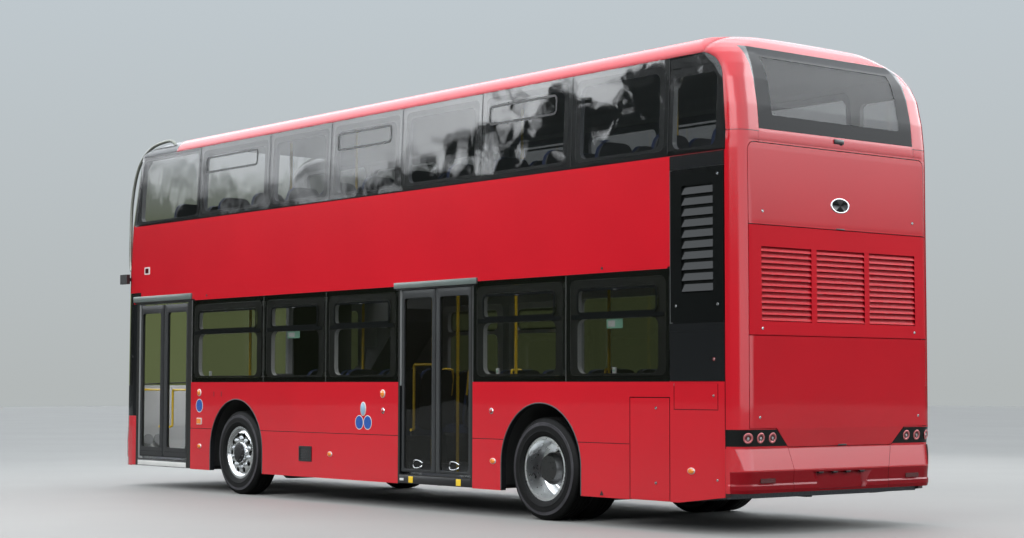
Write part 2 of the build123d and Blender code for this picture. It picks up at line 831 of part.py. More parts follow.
def wheel_ring(points, x):
    """A ring turned about a wheel's axis from (radius, y) points."""
    plane = Plane((x, 0, tyre_radius), x_dir=(1, 0, 0), z_dir=(0, 0, 1))
    face = make_face(Polyline(*points, close=True))
    return revolve(plane * face, Axis((x, 0, tyre_radius), (0, 1, 0)))


def tyre(x, y):
    """One tyre centred at y."""
    half = tyre_width / 2
    side = [(rim_radius, 99), (rim_radius + 14.5, 99), (rim_radius + 14.5, 120), (330, half - 6),
            (400, half), (450, half - 14), (tyre_radius, 100)]
    points = side + [(r, -u) for r, u in side[::-1]]
    return wheel_ring([(r, y + u) for r, u in points], x)


def hand_holes(x, y0, y1):
    """The round hand holes through a wheel disc."""
    holes = []
    for i in range(hand_hole_count):
        angle = radians(360 * i / hand_hole_count)
        px = x + hand_hole_circle * cos(angle)
        pz = tyre_radius + hand_hole_circle * sin(angle)
        holes.append(rod((px, y0, pz), (px, y1, pz), hand_hole_radius))
    return holes


def make_wheels():
    """Single front wheels and twin rear wheels, tyres and rims apart."""
    y = front_tyre_y
    flange = rim_radius + 14
    bore = rim_radius - 14
    barrel = [(rim_radius, -100), (rim_radius, 100), (flange, 104), (flange, 112), (bore + 2, 112),
              (bore, 60), (bore, -112), (flange, -112), (flange, -104)]
    half = rim_radius - 13
    hub = spindle_radius + bearing_gap
    front_disc = [(half, 55), (half, 75), (225, 95), (150, 100), (115, 98), (110, 118), (0, 122),
                  (0, 92), (hub, 92), (hub, -60), (75, -60), (80, 75), (150, 82), (225, 75)]
    rim = wheel_ring([(r, y + u) for r, u in barrel], front_axle_x)
    rim = rim + wheel_ring([(r, y + u) for r, u in front_disc], front_axle_x)
    rim = rim - hand_holes(front_axle_x, y + 40, y + 130)
    save("front_left_rim", rim)
    save("front_right_rim", across(rim))
    left = tyre(front_axle_x, y)
    save("front_left_tyre", left)
    save("front_right_tyre", across(left))

    twin = front_tyre_y - twin_spacing
    middle = (front_tyre_y + twin) / 2
    outer_rim = wheel_ring([(r, y + u) for r, u in barrel], rear_axle_x)
    inner_rim = wheel_ring([(r, 2 * middle - y - u) for r, u in barrel], rear_axle_x)
    hub = rear_spindle_radius + bearing_gap
    rear_disc = [(half, y - 115), (half, y - 90), (215, middle + 14), (150, middle + 14), (150, 1120),
                 (120, 1172), (0, 1172), (0, 1168), (hub, 1168), (hub, 690), (140, 690),
                 (150, middle - 14), (215, middle - 14), (half, twin + 90), (half, twin + 115),
                 (240, middle)]
    rear = wheel_ring(rear_disc, rear_axle_x) + outer_rim + inner_rim
    save("rear_left_rims", rear)
    save("rear_right_rims", across(rear))
    pair = (tyre(rear_axle_x, y), tyre(rear_axle_x, twin))
    save("rear_left_tyres", *pair)
    save("rear_right_tyres", across(pair[0]), across(pair[1]))


def portal(rear_jamb, front_jamb, rear_end, front_end):
    """The frame of one doorway with its sill, header track and column bearings."""
    inside = half_width - wall
    frame = block(rear_end, front_end, inside, half_width, sill_z[0], deck_z)
    frame = frame - block(rear_jamb, front_jamb, inside - 10, 1300, sill_z[2], track_z[0] - 34)
    frame = frame - block(rear_jamb, front_jamb, inside - 10, 1267, sill_z[1], sill_z[2])
    track = block(rear_jamb - 75, front_jamb + 75, 1160, inside, track_z[0], deck_z)
    slot_z = (leaf_top, track_z[1] + 4)
    track = track - block(rear_jamb + 20, front_jamb - 20, column_y - 10, column_y + 10, *slot_z)
    for x in (rear_jamb - column_offset, front_jamb + column_offset):
        hole = rod((x, column_y, slot_z[0]), (x, column_y, slot_z[1]), column_radius + bearing_gap)
        track = track - hole
    return frame + track


def door_leaf(x0, x1, column_x):
    """The rear leaf of a doorway with its pane, its hanger and foot pivots and its guide pin."""
    pivot_x = column_x + arm_reach
    pin_x = column_x + 2 * arm_reach
    back_y = leaf_face_y - leaf_thick
    leaf = side_prism(x0, x1, leaf_bottom, leaf_top, leaf_corner, back_y, leaf_face_y)
    pane_back = back_y + leaf_rebate
    for y0, y1 in ((back_y - 1, pane_back), (pane_back + leaf_glass, leaf_face_y + 1)):
        leaf = leaf - side_prism(x0 + leaf_stile, x1 - leaf_stile, leaf_bottom + leaf_foot_rail,
                                 leaf_top - leaf_top_rail, 30, y0, y1)
    fittings = (
        (pivot_x, 22, leaf_top - 40, leaf_top, pivot_radius, (leaf_top - 20, arm_z[1] - 2)),
        (pivot_x, 22, leaf_bottom, leaf_bottom + 30, pivot_radius, (foot_arm_z[0] + 2, leaf_bottom + 10)),
        (pin_x, 16, leaf_top - 40, leaf_top, guide_radius, (leaf_top - 20, track_z[1] - 2)),
    )
    for x, half, z0, z1, radius, (pin_low, pin_high) in fittings:
        leaf = leaf + block(x - half, x + half, column_y - half + 4, back_y + 4, z0, z1)
        leaf = leaf + rod((x, column_y, pin_low), (x, column_y, pin_high), radius)
    return leaf


def door_arm(column_x):
    """A turning column with its upper and lower arm."""
    pivot_x = column_x + arm_reach
    arm = rod((column_x, column_y, floor_top + 2), (column_x, column_y, track_z[1] + 2), column_radius)
    for z0, z1 in (arm_z, foot_arm_z):
        bar = block(column_x, pivot_x, column_y - 9, column_y + 9, z0, z1)
        eye = rod((pivot_x, column_y, z0), (pivot_x, column_y, z1), 2 * pivot_radius)
        hole = rod((pivot_x, column_y, z0 - 5), (pivot_x, column_y, z1 + 5), pivot_radius + bearing_gap)
        arm = arm + bar + eye - hole
    return arm


def make_doors():
    """Portals, and two gliding leaves with their turning columns in each doorway."""
    portals = []
    for name, (rear_jamb, front_jamb, rear_end, front_end) in doorways.items():
        portals.append(portal(rear_jamb, front_jamb, rear_end, front_end))
        width = (front_jamb - rear_jamb - 2 * jamb_gap - leaf_seam) / 2
        x0 = rear_jamb + jamb_gap
        column_x = rear_jamb - column_offset
        leaf = door_leaf(x0, x0 + width, column_x)
        arm = door_arm(column_x)
        centre = (rear_jamb + front_jamb) / 2
        middle = Plane((centre, 0, 0), x_dir=(0, 1, 0), z_dir=(1, 0, 0))
        save(f"{name}_rear_leaf", leaf)
        save(f"{name}_front_leaf", mirror(leaf, about=middle))
        save(f"{name}_rear_arm", arm)
        save(f"{name}_front_arm", mirror(arm, about=middle))
    save("door_portals", *portals)


def make_outside():
    """Branch guard and camera pods."""
    guards = []
    for y in (guard_y, -guard_y):
        path = Spline(*[(x, y, z) for x, z in guard_line])
        tube = sweep(Plane(origin=path @ 0, z_dir=path % 0) * Circle(guard_radius), path=path)
        guards.append(tube - outer)
    save("branch_guard", *guards)

    arm = block(5200, 5260, 1180, 1330, 2560, 2600)
    pod = arm + block(5150, 5330, 1300, 1345, 2520, 2640)
    pod = pod - outer
    save("camera_mirrors", pod, across(pod))


make_sides()
make_front()
make_rear()
make_bumpers()
make_flaps()
make_floors()
make_interior()
make_axles()
make_wheels()
make_doors()
make_outside()
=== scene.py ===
import json
from math import cos, pi, radians, sin

import bmesh
import bpy
from mathutils import Matrix, Vector
from mathutils.bvhtree import BVHTree


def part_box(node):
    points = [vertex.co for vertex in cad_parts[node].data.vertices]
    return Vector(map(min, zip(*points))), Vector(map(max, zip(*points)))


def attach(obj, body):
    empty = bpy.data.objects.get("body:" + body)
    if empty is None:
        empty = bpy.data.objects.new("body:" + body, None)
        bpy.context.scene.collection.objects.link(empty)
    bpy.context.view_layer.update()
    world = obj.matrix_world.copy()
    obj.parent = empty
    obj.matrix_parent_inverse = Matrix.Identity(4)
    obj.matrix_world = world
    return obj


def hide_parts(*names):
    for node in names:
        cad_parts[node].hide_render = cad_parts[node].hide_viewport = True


# A red double decker bus dressed over its CAD frame.
# Metres, X forward, Y to the kerb side with the doors, Z up, ground at zero.
# A box on a side is written x0, x1, z0, z1.

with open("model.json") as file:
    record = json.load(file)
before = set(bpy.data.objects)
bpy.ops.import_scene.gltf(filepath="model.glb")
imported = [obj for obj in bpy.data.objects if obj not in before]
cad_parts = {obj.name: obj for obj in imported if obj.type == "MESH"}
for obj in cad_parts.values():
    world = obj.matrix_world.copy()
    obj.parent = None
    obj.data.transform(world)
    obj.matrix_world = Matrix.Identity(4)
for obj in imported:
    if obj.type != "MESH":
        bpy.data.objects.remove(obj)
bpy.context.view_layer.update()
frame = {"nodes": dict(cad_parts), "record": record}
nodes = frame["nodes"]
print("frame loaded:", len(nodes), "nodes")


def addObject(name, data):
    made = bpy.data.objects.new(name, data)
    bpy.context.scene.collection.objects.link(made)
    return made


def setSockets(node, sockets):
    # another node's result is linked, anything else is set on the socket itself
    for key, value in sockets.items():
        if isinstance(value, bpy.types.NodeSocket):
            node.id_data.links.new(value, node.inputs[key])
        else:
            node.inputs[key].default_value = value


def addNode(tree, kind, sockets=None, **settings):
    node = tree.nodes.new("ShaderNode" + kind)
    for key, value in settings.items():
        setattr(node, key, value)
    setSockets(node, sockets or {})
    return node


def addMath(tree, operation, first, second=0.0):
    return addNode(tree, "Math", {0: first, 1: second}, operation=operation).outputs[0]


def addMix(tree, factor, first, second, kind="RGBA"):
    sockets = {"Factor": factor, "A": first, "B": second}
    return addNode(tree, "Mix", sockets, data_type=kind).outputs["Result"]


def addRamp(tree, factor, low, high, lowColour, highColour):
    ramp = addNode(tree, "ValToRGB", {"Fac": factor})
    stops = ramp.color_ramp.elements
    stops[0].position, stops[0].color = low, lowColour
    stops[1].position, stops[1].color = high, highColour
    return ramp.outputs["Color"]


def addRange(tree, value, fromLow, fromHigh, toLow=0, toHigh=1):
    sockets = {"Value": value, "From Min": fromLow, "From Max": fromHigh, "To Min": toLow, "To Max": toHigh}
    return addNode(tree, "MapRange", sockets).outputs["Result"]


def addNoise(tree, place, scale, detail):
    return addNode(tree, "TexNoise", {"Vector": place, "Scale": scale, "Detail": detail}).outputs["Fac"]


def addBump(tree, height, strength, distance, **under):
    return addNode(tree, "Bump",
                   {"Height": height, "Strength": strength, "Distance": distance, **under}).outputs[0]


def splitAxes(tree, vector):
    return addNode(tree, "SeparateXYZ", {"Vector": vector}).outputs


def objectPlace(tree):
    return addNode(tree, "TexCoord").outputs["Object"]


def shade(colour, factor=1):
    return (colour[0] * factor, colour[1] * factor, colour[2] * factor, 1)


def newFinish(name):
    material = bpy.data.materials.new(name)
    material.use_nodes = True
    return material, material.node_tree, material.node_tree.nodes["Principled BSDF"]


def insideDisc(tree, at, disc):
    # one where a point lies within a radius of the line across the object through x and z
    x, z, radius = disc
    along, up = addMath(tree, "SUBTRACT", at["X"], x), addMath(tree, "SUBTRACT", at["Z"], z)
    square = addMath(tree, "ADD", addMath(tree, "MULTIPLY", along, along), addMath(tree, "MULTIPLY", up, up))
    return addMath(tree, "LESS_THAN", square, radius ** 2)


def insideBox(tree, at, box):
    # one where a point lies in a box of x, distance from the middle line and z
    inside = None
    for value, (low, high) in zip((at["X"], addMath(tree, "ABSOLUTE", at["Y"]), at["Z"]), box):
        for part in (addMath(tree, "GREATER_THAN", value, low), addMath(tree, "LESS_THAN", value, high)):
            inside = part if inside is None else addMath(tree, "MULTIPLY", inside, part)
    return inside


plainLook = {"cloud": 3, "fade": 0.85, "grain": 220, "relief": 0.15, "spread": 0.08, "metal": 0,
             "specular": 0.5, "coat": 0, "grainDepth": 0.001}


def plainFinish(name, colour, roughness, other):
    # one base colour broken up by soft clouds, fine grain in roughness and bump
    look = {**plainLook, **other}
    material, tree, shader = newFinish(name)
    place = objectPlace(tree)
    grain = addNoise(tree, place, look["grain"], 3)
    tone = addRamp(tree, addNoise(tree, place, look["cloud"], 5), 0.3, 0.7, shade(colour, look["fade"]),
                   shade(colour))
    # a second colour in a box or a disc: the pale lower panel of the cab wall, and painted shade in the dish
    # of the rear rims
    if "patchColour" in look:
        at = splitAxes(tree, place)
        patch = insideBox(tree, at, look["box"]) if "box" in look else insideDisc(tree, at, look["disc"])
        tone = addMix(tree, patch, tone, shade(look["patchColour"]))
    rough, spread = roughness, look["spread"]
    setSockets(shader, {"Base Color": tone,
                        "Roughness": addRange(tree, grain, 0.3, 0.7, rough - spread, rough + spread),
                        "Normal": addBump(tree, grain, look["relief"], look["grainDepth"]),
                        "Metallic": look["metal"], "Specular IOR Level": look["specular"],
                        "Coat Weight": look["coat"]})
    return material


paintLook = {
    "colour": (0.57, 0.009, 0.020), "lining": (0.46, 0.47, 0.47), "dust": 0.03,
    "dustColour": (0.20, 0.15, 0.12), "dustTop": (0.25, 0.95), "roughness": 0.20, "insideRoughness": 0.6,
    "relief": 0.05, "coat": 0.5, "specular": 0.3, "coatRoughness": 0.03, "endFrom": 4.9, "roofFrom": 3.9,
    "softFrom": 3.32, "flatRoughness": 0.5, "darkInside": ((-9, 4.2), (0, 2), (0, 1.25)),
    "blackColour": (0.008, 0.009, 0.010), "lineAndShadeColour": (0.06, 0.002, 0.004), "black": (), "lines": (),
    "peelDepth": 0.02,
}


def bodyPaint(name, other):
    # gloss paint outside, pale lining inside, road dust low down and a little orange peel
    look = {**paintLook, **other}
    material, tree, shader = newFinish(name)
    place = objectPlace(tree)
    at = splitAxes(tree, place)
    normal = addNode(tree, "NewGeometry").outputs["Normal"]
    facing = splitAxes(tree, normal)
    sideways = addMath(tree, "MULTIPLY", facing["Y"], addMath(tree, "SIGN", at["Y"]))
    farEnd = addMath(tree, "GREATER_THAN", addMath(tree, "ABSOLUTE", at["X"]), look["endFrom"])
    endways = addMath(tree, "MULTIPLY", facing["X"], addMath(tree, "SIGN", at["X"]))
    endways = addMath(tree, "MULTIPLY", endways, farEnd)
    upwards = addMath(tree, "MULTIPLY", facing["Z"], addMath(tree, "GREATER_THAN", at["Z"], look["roofFrom"]))
    outward = addMath(tree, "MAXIMUM", addMath(tree, "MAXIMUM", sideways, endways), upwards)
    outside = addMath(tree, "GREATER_THAN", outward, 0.15)
    black = shade(look["blackColour"])

    paint = addRamp(tree, addNoise(tree, place, 0.9, 4), 0.3, 0.7, shade(look["colour"], 0.92),
                    shade(look["colour"]))
    for box in look["black"]:
        paint = addMix(tree, insideBox(tree, at, box), paint, black)
    marked = 0.0
    # the boxes listed below take a second colour: dark seams and red strips on most paints, and painted shade
    # behind the grille blades and under the bumper
    for box in look["lines"]:
        inside = insideBox(tree, at, box)
        marked = addMath(tree, "MAXIMUM", inside, marked)
        paint = addMix(tree, inside, paint, shade(look["lineAndShadeColour"]))
    low = addRange(tree, at["Z"], *look["dustTop"], look["dust"], 0)
    dusty = addMath(tree, "MULTIPLY", low, addRange(tree, addNoise(tree, place, 26, 8), 0.35, 0.65, 0.4, 1.0))
    soiled = addMix(tree, dusty, paint, shade(look["dustColour"]))
    lining = addMix(tree, insideBox(tree, at, look["darkInside"]), shade(look["lining"]), black)
    rough = addRange(tree, outside, 0, 1, look["insideRoughness"], look["roughness"])
    rough = addMath(tree, "ADD", rough, addMath(tree, "MULTIPLY", dusty, 0.5))

    peel, wave = addNoise(tree, place, 55, 2), addNoise(tree, place, 1.6, 2)
    skin = addMath(tree, "ADD", addMath(tree, "MULTIPLY", peel, 0.03), addMath(tree, "MULTIPLY", wave, 1.0))
    under = {}
    if "soften" in look:
        # the corners above the waist run smoothly from one face to the next
        soft = addNode(tree, "Bevel", {"Radius": look["soften"]}, samples=8).outputs["Normal"]
        high = addMath(tree, "GREATER_THAN", at["Z"], look["softFrom"])
        under["Normal"] = addMix(tree, high, normal, soft, "VECTOR")
    bump = addBump(tree, skin, look["relief"], look["peelDepth"], **under)

    setSockets(shader, {"Specular IOR Level": look["specular"], "Coat Weight": look["coat"],
                        "Coat Roughness": look["coatRoughness"]})
    if "glossEnds" in look:
        # the gloss differs in the marked boxes, or on the weathered flat of the roof
        mask = addRange(tree, upwards, *look["flatFrom"]) if "flatFrom" in look else marked
        for socket, ends in zip(("Specular IOR Level", "Coat Weight"), look["glossEnds"]):
            setSockets(shader, {socket: addRange(tree, mask, 0, 1, *ends)})
        if "flatFrom" in look:
            rough = addMath(tree, "MAXIMUM", rough, addMath(tree, "MULTIPLY", mask, look["flatRoughness"]))
    setSockets(shader, {"Base Color": addMix(tree, outside, lining, soiled), "Roughness": rough,
                        "Normal": bump})
    return material


glassLook = {"upperFrom": 2.4, "roughness": (0.004, 0.016), "ripple": (0.08, 0.02), "index": 1.52}


def tintedGlass(name, lowerColour, upperColour, density, specular):
    # dark safety glass, a little uneven, with dust that dulls it in places
    material, tree, shader = newFinish(name)
    place = objectPlace(tree)
    cloud = addNoise(tree, place, 1.3, 5)
    tone = addRamp(tree, cloud, 0.3, 0.7, shade(lowerColour, 0.7), shade(lowerColour))
    upper = addMath(tree, "GREATER_THAN", splitAxes(tree, place)["Z"], glassLook["upperFrom"])
    setSockets(shader, {"Base Color": addMix(tree, upper, tone, shade(upperColour)),
                        "Roughness": addRange(tree, cloud, 0.35, 0.75, *glassLook["roughness"]),
                        "Normal": addBump(tree, addNoise(tree, place, 2.4, 1), *glassLook["ripple"]),
                        "Alpha": density, "IOR": glassLook["index"], "Specular IOR Level": specular})
    return material


doorSide, skinSide = (1.2, 1.3), (1.268, 1.3)  # distances from the middle line
cornerX = (4.990, 5.20)
bodyPaints = {
    "busRed": {
        "black": [((-4.64, 4.93), (1.19, 1.2705), (1.10, 2.28)), ((4.90, 5.6), (0, 1.4), (1.252, 2.402)),
                  ((5.2, 5.6), (0, 0.899), (2.481, 2.919)), ((3.56, 3.76), (1.19, 1.3), (1.295, 2.28)),
                  ((-4.72, -4.60), (1.19, 1.3), (1.295, 2.28)), ((5.06, 5.60), (1.0, 1.3), (0.87, 1.26))],
        "lines": [((-4.11, 5.08), (1.268, 1.30), (0.7365, 0.7435))]},
    # the grille's faces deeper than the skin behind its blades, and its inner faces, are painted a dark red:
    # painted shade in the gaps between the blades
    "grilleRed": {
        "lining": (0.16, 0.003, 0.006), "specular": 0.12, "coat": 0.0, "roughness": 0.40,
        "lineAndShadeColour": (0.24, 0.004, 0.008),
        "lines": [((-5.4385, -5.38), (y - 0.311, y + 0.311), (1.793, 2.426)) for y in (0.685, 0.0)]},
    "portalPaint": {
        "colour": (0.030, 0.031, 0.030), "glossEnds": ((0.12, 0.3), (0, 0.5)),
        "lineAndShadeColour": (0.57, 0.009, 0.020), "black": [(cornerX, doorSide, (0.87, 2.262))],
        "lines": [(cornerX, doorSide, (0.2, 0.87)), (cornerX, doorSide, (2.262, 2.4)),
                  ((-1.90, 5.20), doorSide, (2.279, 2.4))]},
    # the lower band of the bumper has a dull finish, and its darker red is painted shade under the bumper
    "bumperPaint": {
        "coat": 1.0, "specular": 0.5, "lineAndShadeColour": (0.24, 0.002, 0.008),
        "glossEnds": ((0.5, 0.12), (1.0, 0.12)), "lines": [((-5.46, -5.33), (0, 2), (0.2, 0.535))]},
    "upperWallPaint": {"black": [((-9, 9), (0, 2), (3, 5))]},
    "roofPaint": {
        "soften": 0.07, "flatFrom": (0.80, 0.96), "glossEnds": ((0.3, 0.06), (0.5, 0.06)),
        "black": [((4.112, 9), (0, 2), (3, 5))]},
    "rearPaint": {
        "soften": 0.07,
        "black": [((-5.29, -4.6), doorSide, (1.29, 3.233)), ((-5.45, -5.0), (0, 1.001), (3.424, 4.166))],
        "lines": [((-5.294, -5.286), doorSide, (0.25, 3.40)), ((-5.46, -5.30), (1.0, 1.3), (3.397, 3.403)),
                  ((-5.29, -4.6), doorSide, (1.2865, 1.2935)), ((-5.21, -4.674), skinSide, (1.0455, 1.0525)),
                  ((-5.2095, -5.2025), skinSide, (1.05, 1.27)),
                  ((-4.6815, -4.6745), skinSide, (1.05, 1.27))]},
}
# tint on the lower deck, tint on the upper deck, density, specular level
glassLooks = {
    "windowGlass": ((0.006, 0.008, 0.003), (0.010, 0.012, 0.012), 0.32, 1.0),
    # the offside panes' stronger green is partly a tint of the glass and partly painted light: it stands in
    # for the green seen through the bus
    "offsideGlass": ((0.020, 0.028, 0.010), (0.012, 0.014, 0.014), 0.52, 1.0),
    "rearGlass": ((0.006, 0.007, 0.008), (0.006, 0.007, 0.008), 0.14, 0.85),
    "screenGlass": ((0.006, 0.007, 0.007), (0.006, 0.007, 0.007), 0.14, 0.8),
    "doorGlass": ((0.005, 0.005, 0.003), (0.005, 0.005, 0.005), 0.47, 0.5),
    "frontDoorGlass": ((0.030, 0.034, 0.018), (0.012, 0.013, 0.013), 0.15, 0.5),
}
# colour, roughness, and what differs from the plain look
plainFinishes = {
    "blackTrim": ((0.012, 0.012, 0.013), 0.38, {"relief": 0.05}),
    "glossBlack": ((0.006, 0.007, 0.007), 0.16,
                   {"spread": 0.04, "relief": 0.02, "coat": 0.1, "specular": 0.2}),
    "windowBlack": ((0.005, 0.006, 0.007), 0.12, {"spread": 0.03, "relief": 0.02, "specular": 0.10}),
    "doorAluminium": ((0.30, 0.31, 0.32), 0.42, {"metal": 0.7, "grain": 90, "relief": 0.04}),
    "cabinGrey": ((0.30, 0.31, 0.33), 0.55, {"grain": 300}),
    "floorVinyl": ((0.12, 0.13, 0.15), 0.5, {"cloud": 60, "fade": 0.5}),
    "seatMoquette": ((0.022, 0.040, 0.12), 0.85, {"grain": 500, "cloud": 40, "fade": 0.45, "relief": 0.6}),
    "railYellow": ((0.92, 0.62, 0.03), 0.3, {"relief": 0.05, "coat": 0.4}),
    "chassisPaint": ((0.018, 0.018, 0.018), 0.6, {"relief": 0.3, "grain": 60}),
    "boxPaint": ((0.060, 0.061, 0.060), 0.6, {"relief": 0.3, "grain": 60}),
    "wheelAlloy": ((0.80, 0.81, 0.82), 0.16,
                   {"spread": 0.06, "metal": 1, "grain": 40, "relief": 0.02, "fade": 0.9}),
    "tyreRubber": ((0.005, 0.005, 0.005), 0.6,
                   {"specular": 0.14, "grain": 150, "relief": 0.3, "cloud": 12, "fade": 0.6}),
    # a lighter grey for a ring on the tyre shoulder: painted sheen
    "wornRubber": ((0.050, 0.048, 0.054), 0.5,
                   {"specular": 0.25, "grain": 90, "relief": 0.3, "cloud": 7, "fade": 0.4}),
    "axleIron": ((0.05, 0.048, 0.045), 0.65, {"metal": 0.4, "grain": 70, "relief": 0.5}),
    "brightSteel": ((0.62, 0.63, 0.64), 0.25, {"metal": 1, "grain": 160, "relief": 0.03}),
    "lampRed": ((0.45, 0.01, 0.01), 0.1, {"spread": 0.03, "relief": 0.05, "coat": 1}),
    "lampAmber": ((0.85, 0.24, 0.015), 0.12, {"spread": 0.03, "relief": 0.05, "coat": 1}),
    "lampDeepRed": ((0.09, 0.004, 0.006), 0.15, {"spread": 0.03, "relief": 0.3, "grain": 400, "coat": 0.6}),
    "lampClear": ((0.62, 0.64, 0.66), 0.08,
                  {"spread": 0.03, "relief": 0.1, "grain": 300, "metal": 0.5, "coat": 1}),
    "lampWhite": ((0.78, 0.78, 0.76), 0.3, {"relief": 0.05}),
    "ringRed": ((0.62, 0.16, 0.17), 0.22, {"spread": 0.05, "metal": 0.4, "relief": 0.05, "coat": 0.6}),
    "signBlue": ((0.02, 0.09, 0.38), 0.3, {"relief": 0.03, "cloud": 30}),
    "buttonBlue": ((0.30, 0.48, 0.62), 0.25, {"relief": 0.05}),
    "jointGrey": ((0.15, 0.155, 0.145), 0.5, {"cloud": 8, "fade": 0.6}),
    "dripGrey": ((0.15, 0.18, 0.17), 0.35, {"metal": 0.3, "grain": 80, "relief": 0.05}),
    "doorGrey": ((0.030, 0.032, 0.033), 0.42, {"metal": 0.2, "specular": 0.35, "grain": 120, "relief": 0.05}),
    "frontDoorGrey": ((0.017, 0.018, 0.019), 0.42,
                      {"metal": 0.2, "specular": 0.35, "grain": 120, "relief": 0.05}),
    "hubIron": ((0.012, 0.012, 0.013), 0.5, {"specular": 0.25, "grain": 60, "relief": 0.2}),
    "lipRubber": ((0.050, 0.052, 0.054), 0.6, {"grain": 200}),
    "revealGrey": ((0.86, 0.87, 0.84), 0.5, {"relief": 0.05}),
    "guardSteel": ((0.24, 0.25, 0.22), 0.42, {"metal": 0.6, "grain": 90, "relief": 0.05}),
    "stepWhite": ((0.70, 0.70, 0.68), 0.5, {"grain": 120, "relief": 0.1}),
    "signGreen": ((0.30, 0.62, 0.45), 0.4, {"relief": 0.03}),
    "cabWall": ((0.030, 0.032, 0.030), 0.5,
                {"grain": 200, "box": ((3.935, 4.72), (0.30, 0.40), (0.0, 1.155)),
                 "patchColour": (0.46, 0.47, 0.44)}),
    # the dark disc in the middle of the rear rims is painted shade in the deep dish
    "rearAlloy": ((0.88, 0.89, 0.89), 0.30,
                  {"spread": 0.04, "metal": 1, "grain": 40, "relief": 0.01, "fade": 0.8,
                   "disc": (-2.880, 0.4785, 0.200), "patchColour": (0.09, 0.09, 0.09)}),
    "boltGrey": ((0.16, 0.16, 0.16), 0.32, {"metal": 0.8, "grain": 60}),
    "seatShell": ((0.03, 0.031, 0.036), 0.45, {"grain": 260, "relief": 0.3}),
}
finishOfSlot = {
    "body_red": "busRed", "tinted_glass": "windowGlass", "door_aluminium": "doorAluminium",
    "black_trim": "blackTrim", "interior_grey": "cabinGrey", "floor_vinyl": "floorVinyl",
    "seat_fabric": "seatMoquette", "rail_yellow": "railYellow", "chassis_black": "chassisPaint",
    "wheel_alloy": "wheelAlloy", "tyre_black": "tyreRubber", "axle_iron": "axleIron", "lamp_lens": "lampRed",
    "bright_steel": "brightSteel",
}
finishOfNode = {
    "nearside_upper_wall": "upperWallPaint", "offside_upper_wall": "upperWallPaint", "roof": "roofPaint",
    "rear_frame": "rearPaint", "louvre_hatch": "glossBlack", "tail_lamps": "glossBlack",
    "rear_grille_flap": "grilleRed", "door_portals": "portalPaint", "branch_guard": "guardSteel",
    "bumpers": "bumperPaint", "headlamps": "lampClear", "offside_windows": "offsideGlass",
    "rear_window": "rearGlass", "windscreens": "screenGlass", "driver_cab": "cabWall",
    "wheel_boxes": "boxPaint", "rear_left_rims": "rearAlloy", "rear_right_rims": "rearAlloy",
}
finish = {name: bodyPaint(name, other) for name, other in bodyPaints.items()}
finish.update({name: tintedGlass(name, *look) for name, look in glassLooks.items()})
finish.update({name: plainFinish(name, *look) for name, look in plainFinishes.items()})
for subpart in frame["record"]["subparts"]:
    materials = nodes[subpart["node"]].data.materials
    materials.clear()
    materials.append(finish[finishOfNode.get(subpart["node"], finishOfSlot[subpart["material_slot"]])])
print("finishes ready")


weldDistance = 0.00002
deckSplit = 2.5  # what lies higher belongs to the upper deck
band = {"kink": (1.2684, 3.400), "top": (1.2378, 4.100)}  # the upper window band: half width and height


def around(x, z, halfWide, halfHigh):
    return x - halfWide, x + halfWide, z - halfHigh, z + halfHigh


def inset(box, endways, upwards=None):
    x0, x1, z0, z1 = box
    upwards = endways if upwards is None else upwards
    return x0 + endways, x1 - endways, z0 + upwards, z1 - upwards


def boxCorners(box):
    x0, x1, z0, z1 = box
    return (x0, z0), (x1, z0), (x1, z1), (x0, z1)


def cornersOnSide(box, y):
    return [(x, y, z) for x, z in boxCorners(box)]


def cornersOnEnd(box, x):
    return [(x, y, z) for y, z in boxCorners(box)]


def cornersOnBand(box, proud):
    # the same on the upper window band, which leans inwards
    return [(x, bandY(z) + proud, z) for x, z in boxCorners(box)]


def bandY(z):
    # the skin's distance from the middle line on the upper deck
    low, high = band["kink"], band["top"]
    return low[0] + (high[0] - low[0]) * (z - low[1]) / (high[1] - low[1])


def movedVerts(made):
    return [part for part in made["geom"] if isinstance(part, bmesh.types.BMVert)]


def paintNew(bm, others, material):
    for face in set(bm.faces) - others:
        face.material_index = material


def bevelEdges(bm, edges, offset):
    bmesh.ops.bevel(bm, geom=edges, offset=offset, segments=2, profile=0.5, affect="EDGES", material=-1)


def roundedFace(bm, corners, radius, material, steps):
    face = bm.faces.new([bm.verts.new(corner) for corner in corners])
    face.material_index = material
    if radius > 0:
        others = set(bm.faces) - {face}
        bmesh.ops.bevel(bm, geom=list(face.verts), offset=radius, segments=steps, profile=0.5,
                        affect="VERTICES", material=-1)
        face = max(set(bm.faces) - others, key=lambda found: len(found.verts))
    return face


def thicken(bm, faces, depth):
    bmesh.ops.translate(bm, verts=movedVerts(bmesh.ops.extrude_face_region(bm, geom=faces)), vec=depth)


def addPlate(bm, corners, depth, radius=0.0, material=0, steps=4):
    thicken(bm, [roundedFace(bm, corners, radius, material, steps)], depth)


def addSidePlate(bm, box, y, depth, radius=0.0, material=0, steps=4):
    addPlate(bm, cornersOnSide(box, y), (0, depth, 0), radius, material, steps)


def addRing(bm, outside, inside, depth, radii, material=0, steps=5):
    # a flat frame between two rounded outlines, given a thickness
    faces = [roundedFace(bm, corners, radius, material, steps)
             for corners, radius in zip((outside, inside), radii)]
    edges = [edge for face in faces for edge in face.edges]
    bmesh.ops.delete(bm, geom=faces, context="FACES_ONLY")
    made = bmesh.ops.bridge_loops(bm, edges=edges)["faces"]
    for face in made:
        face.material_index = material
    thicken(bm, made, depth)


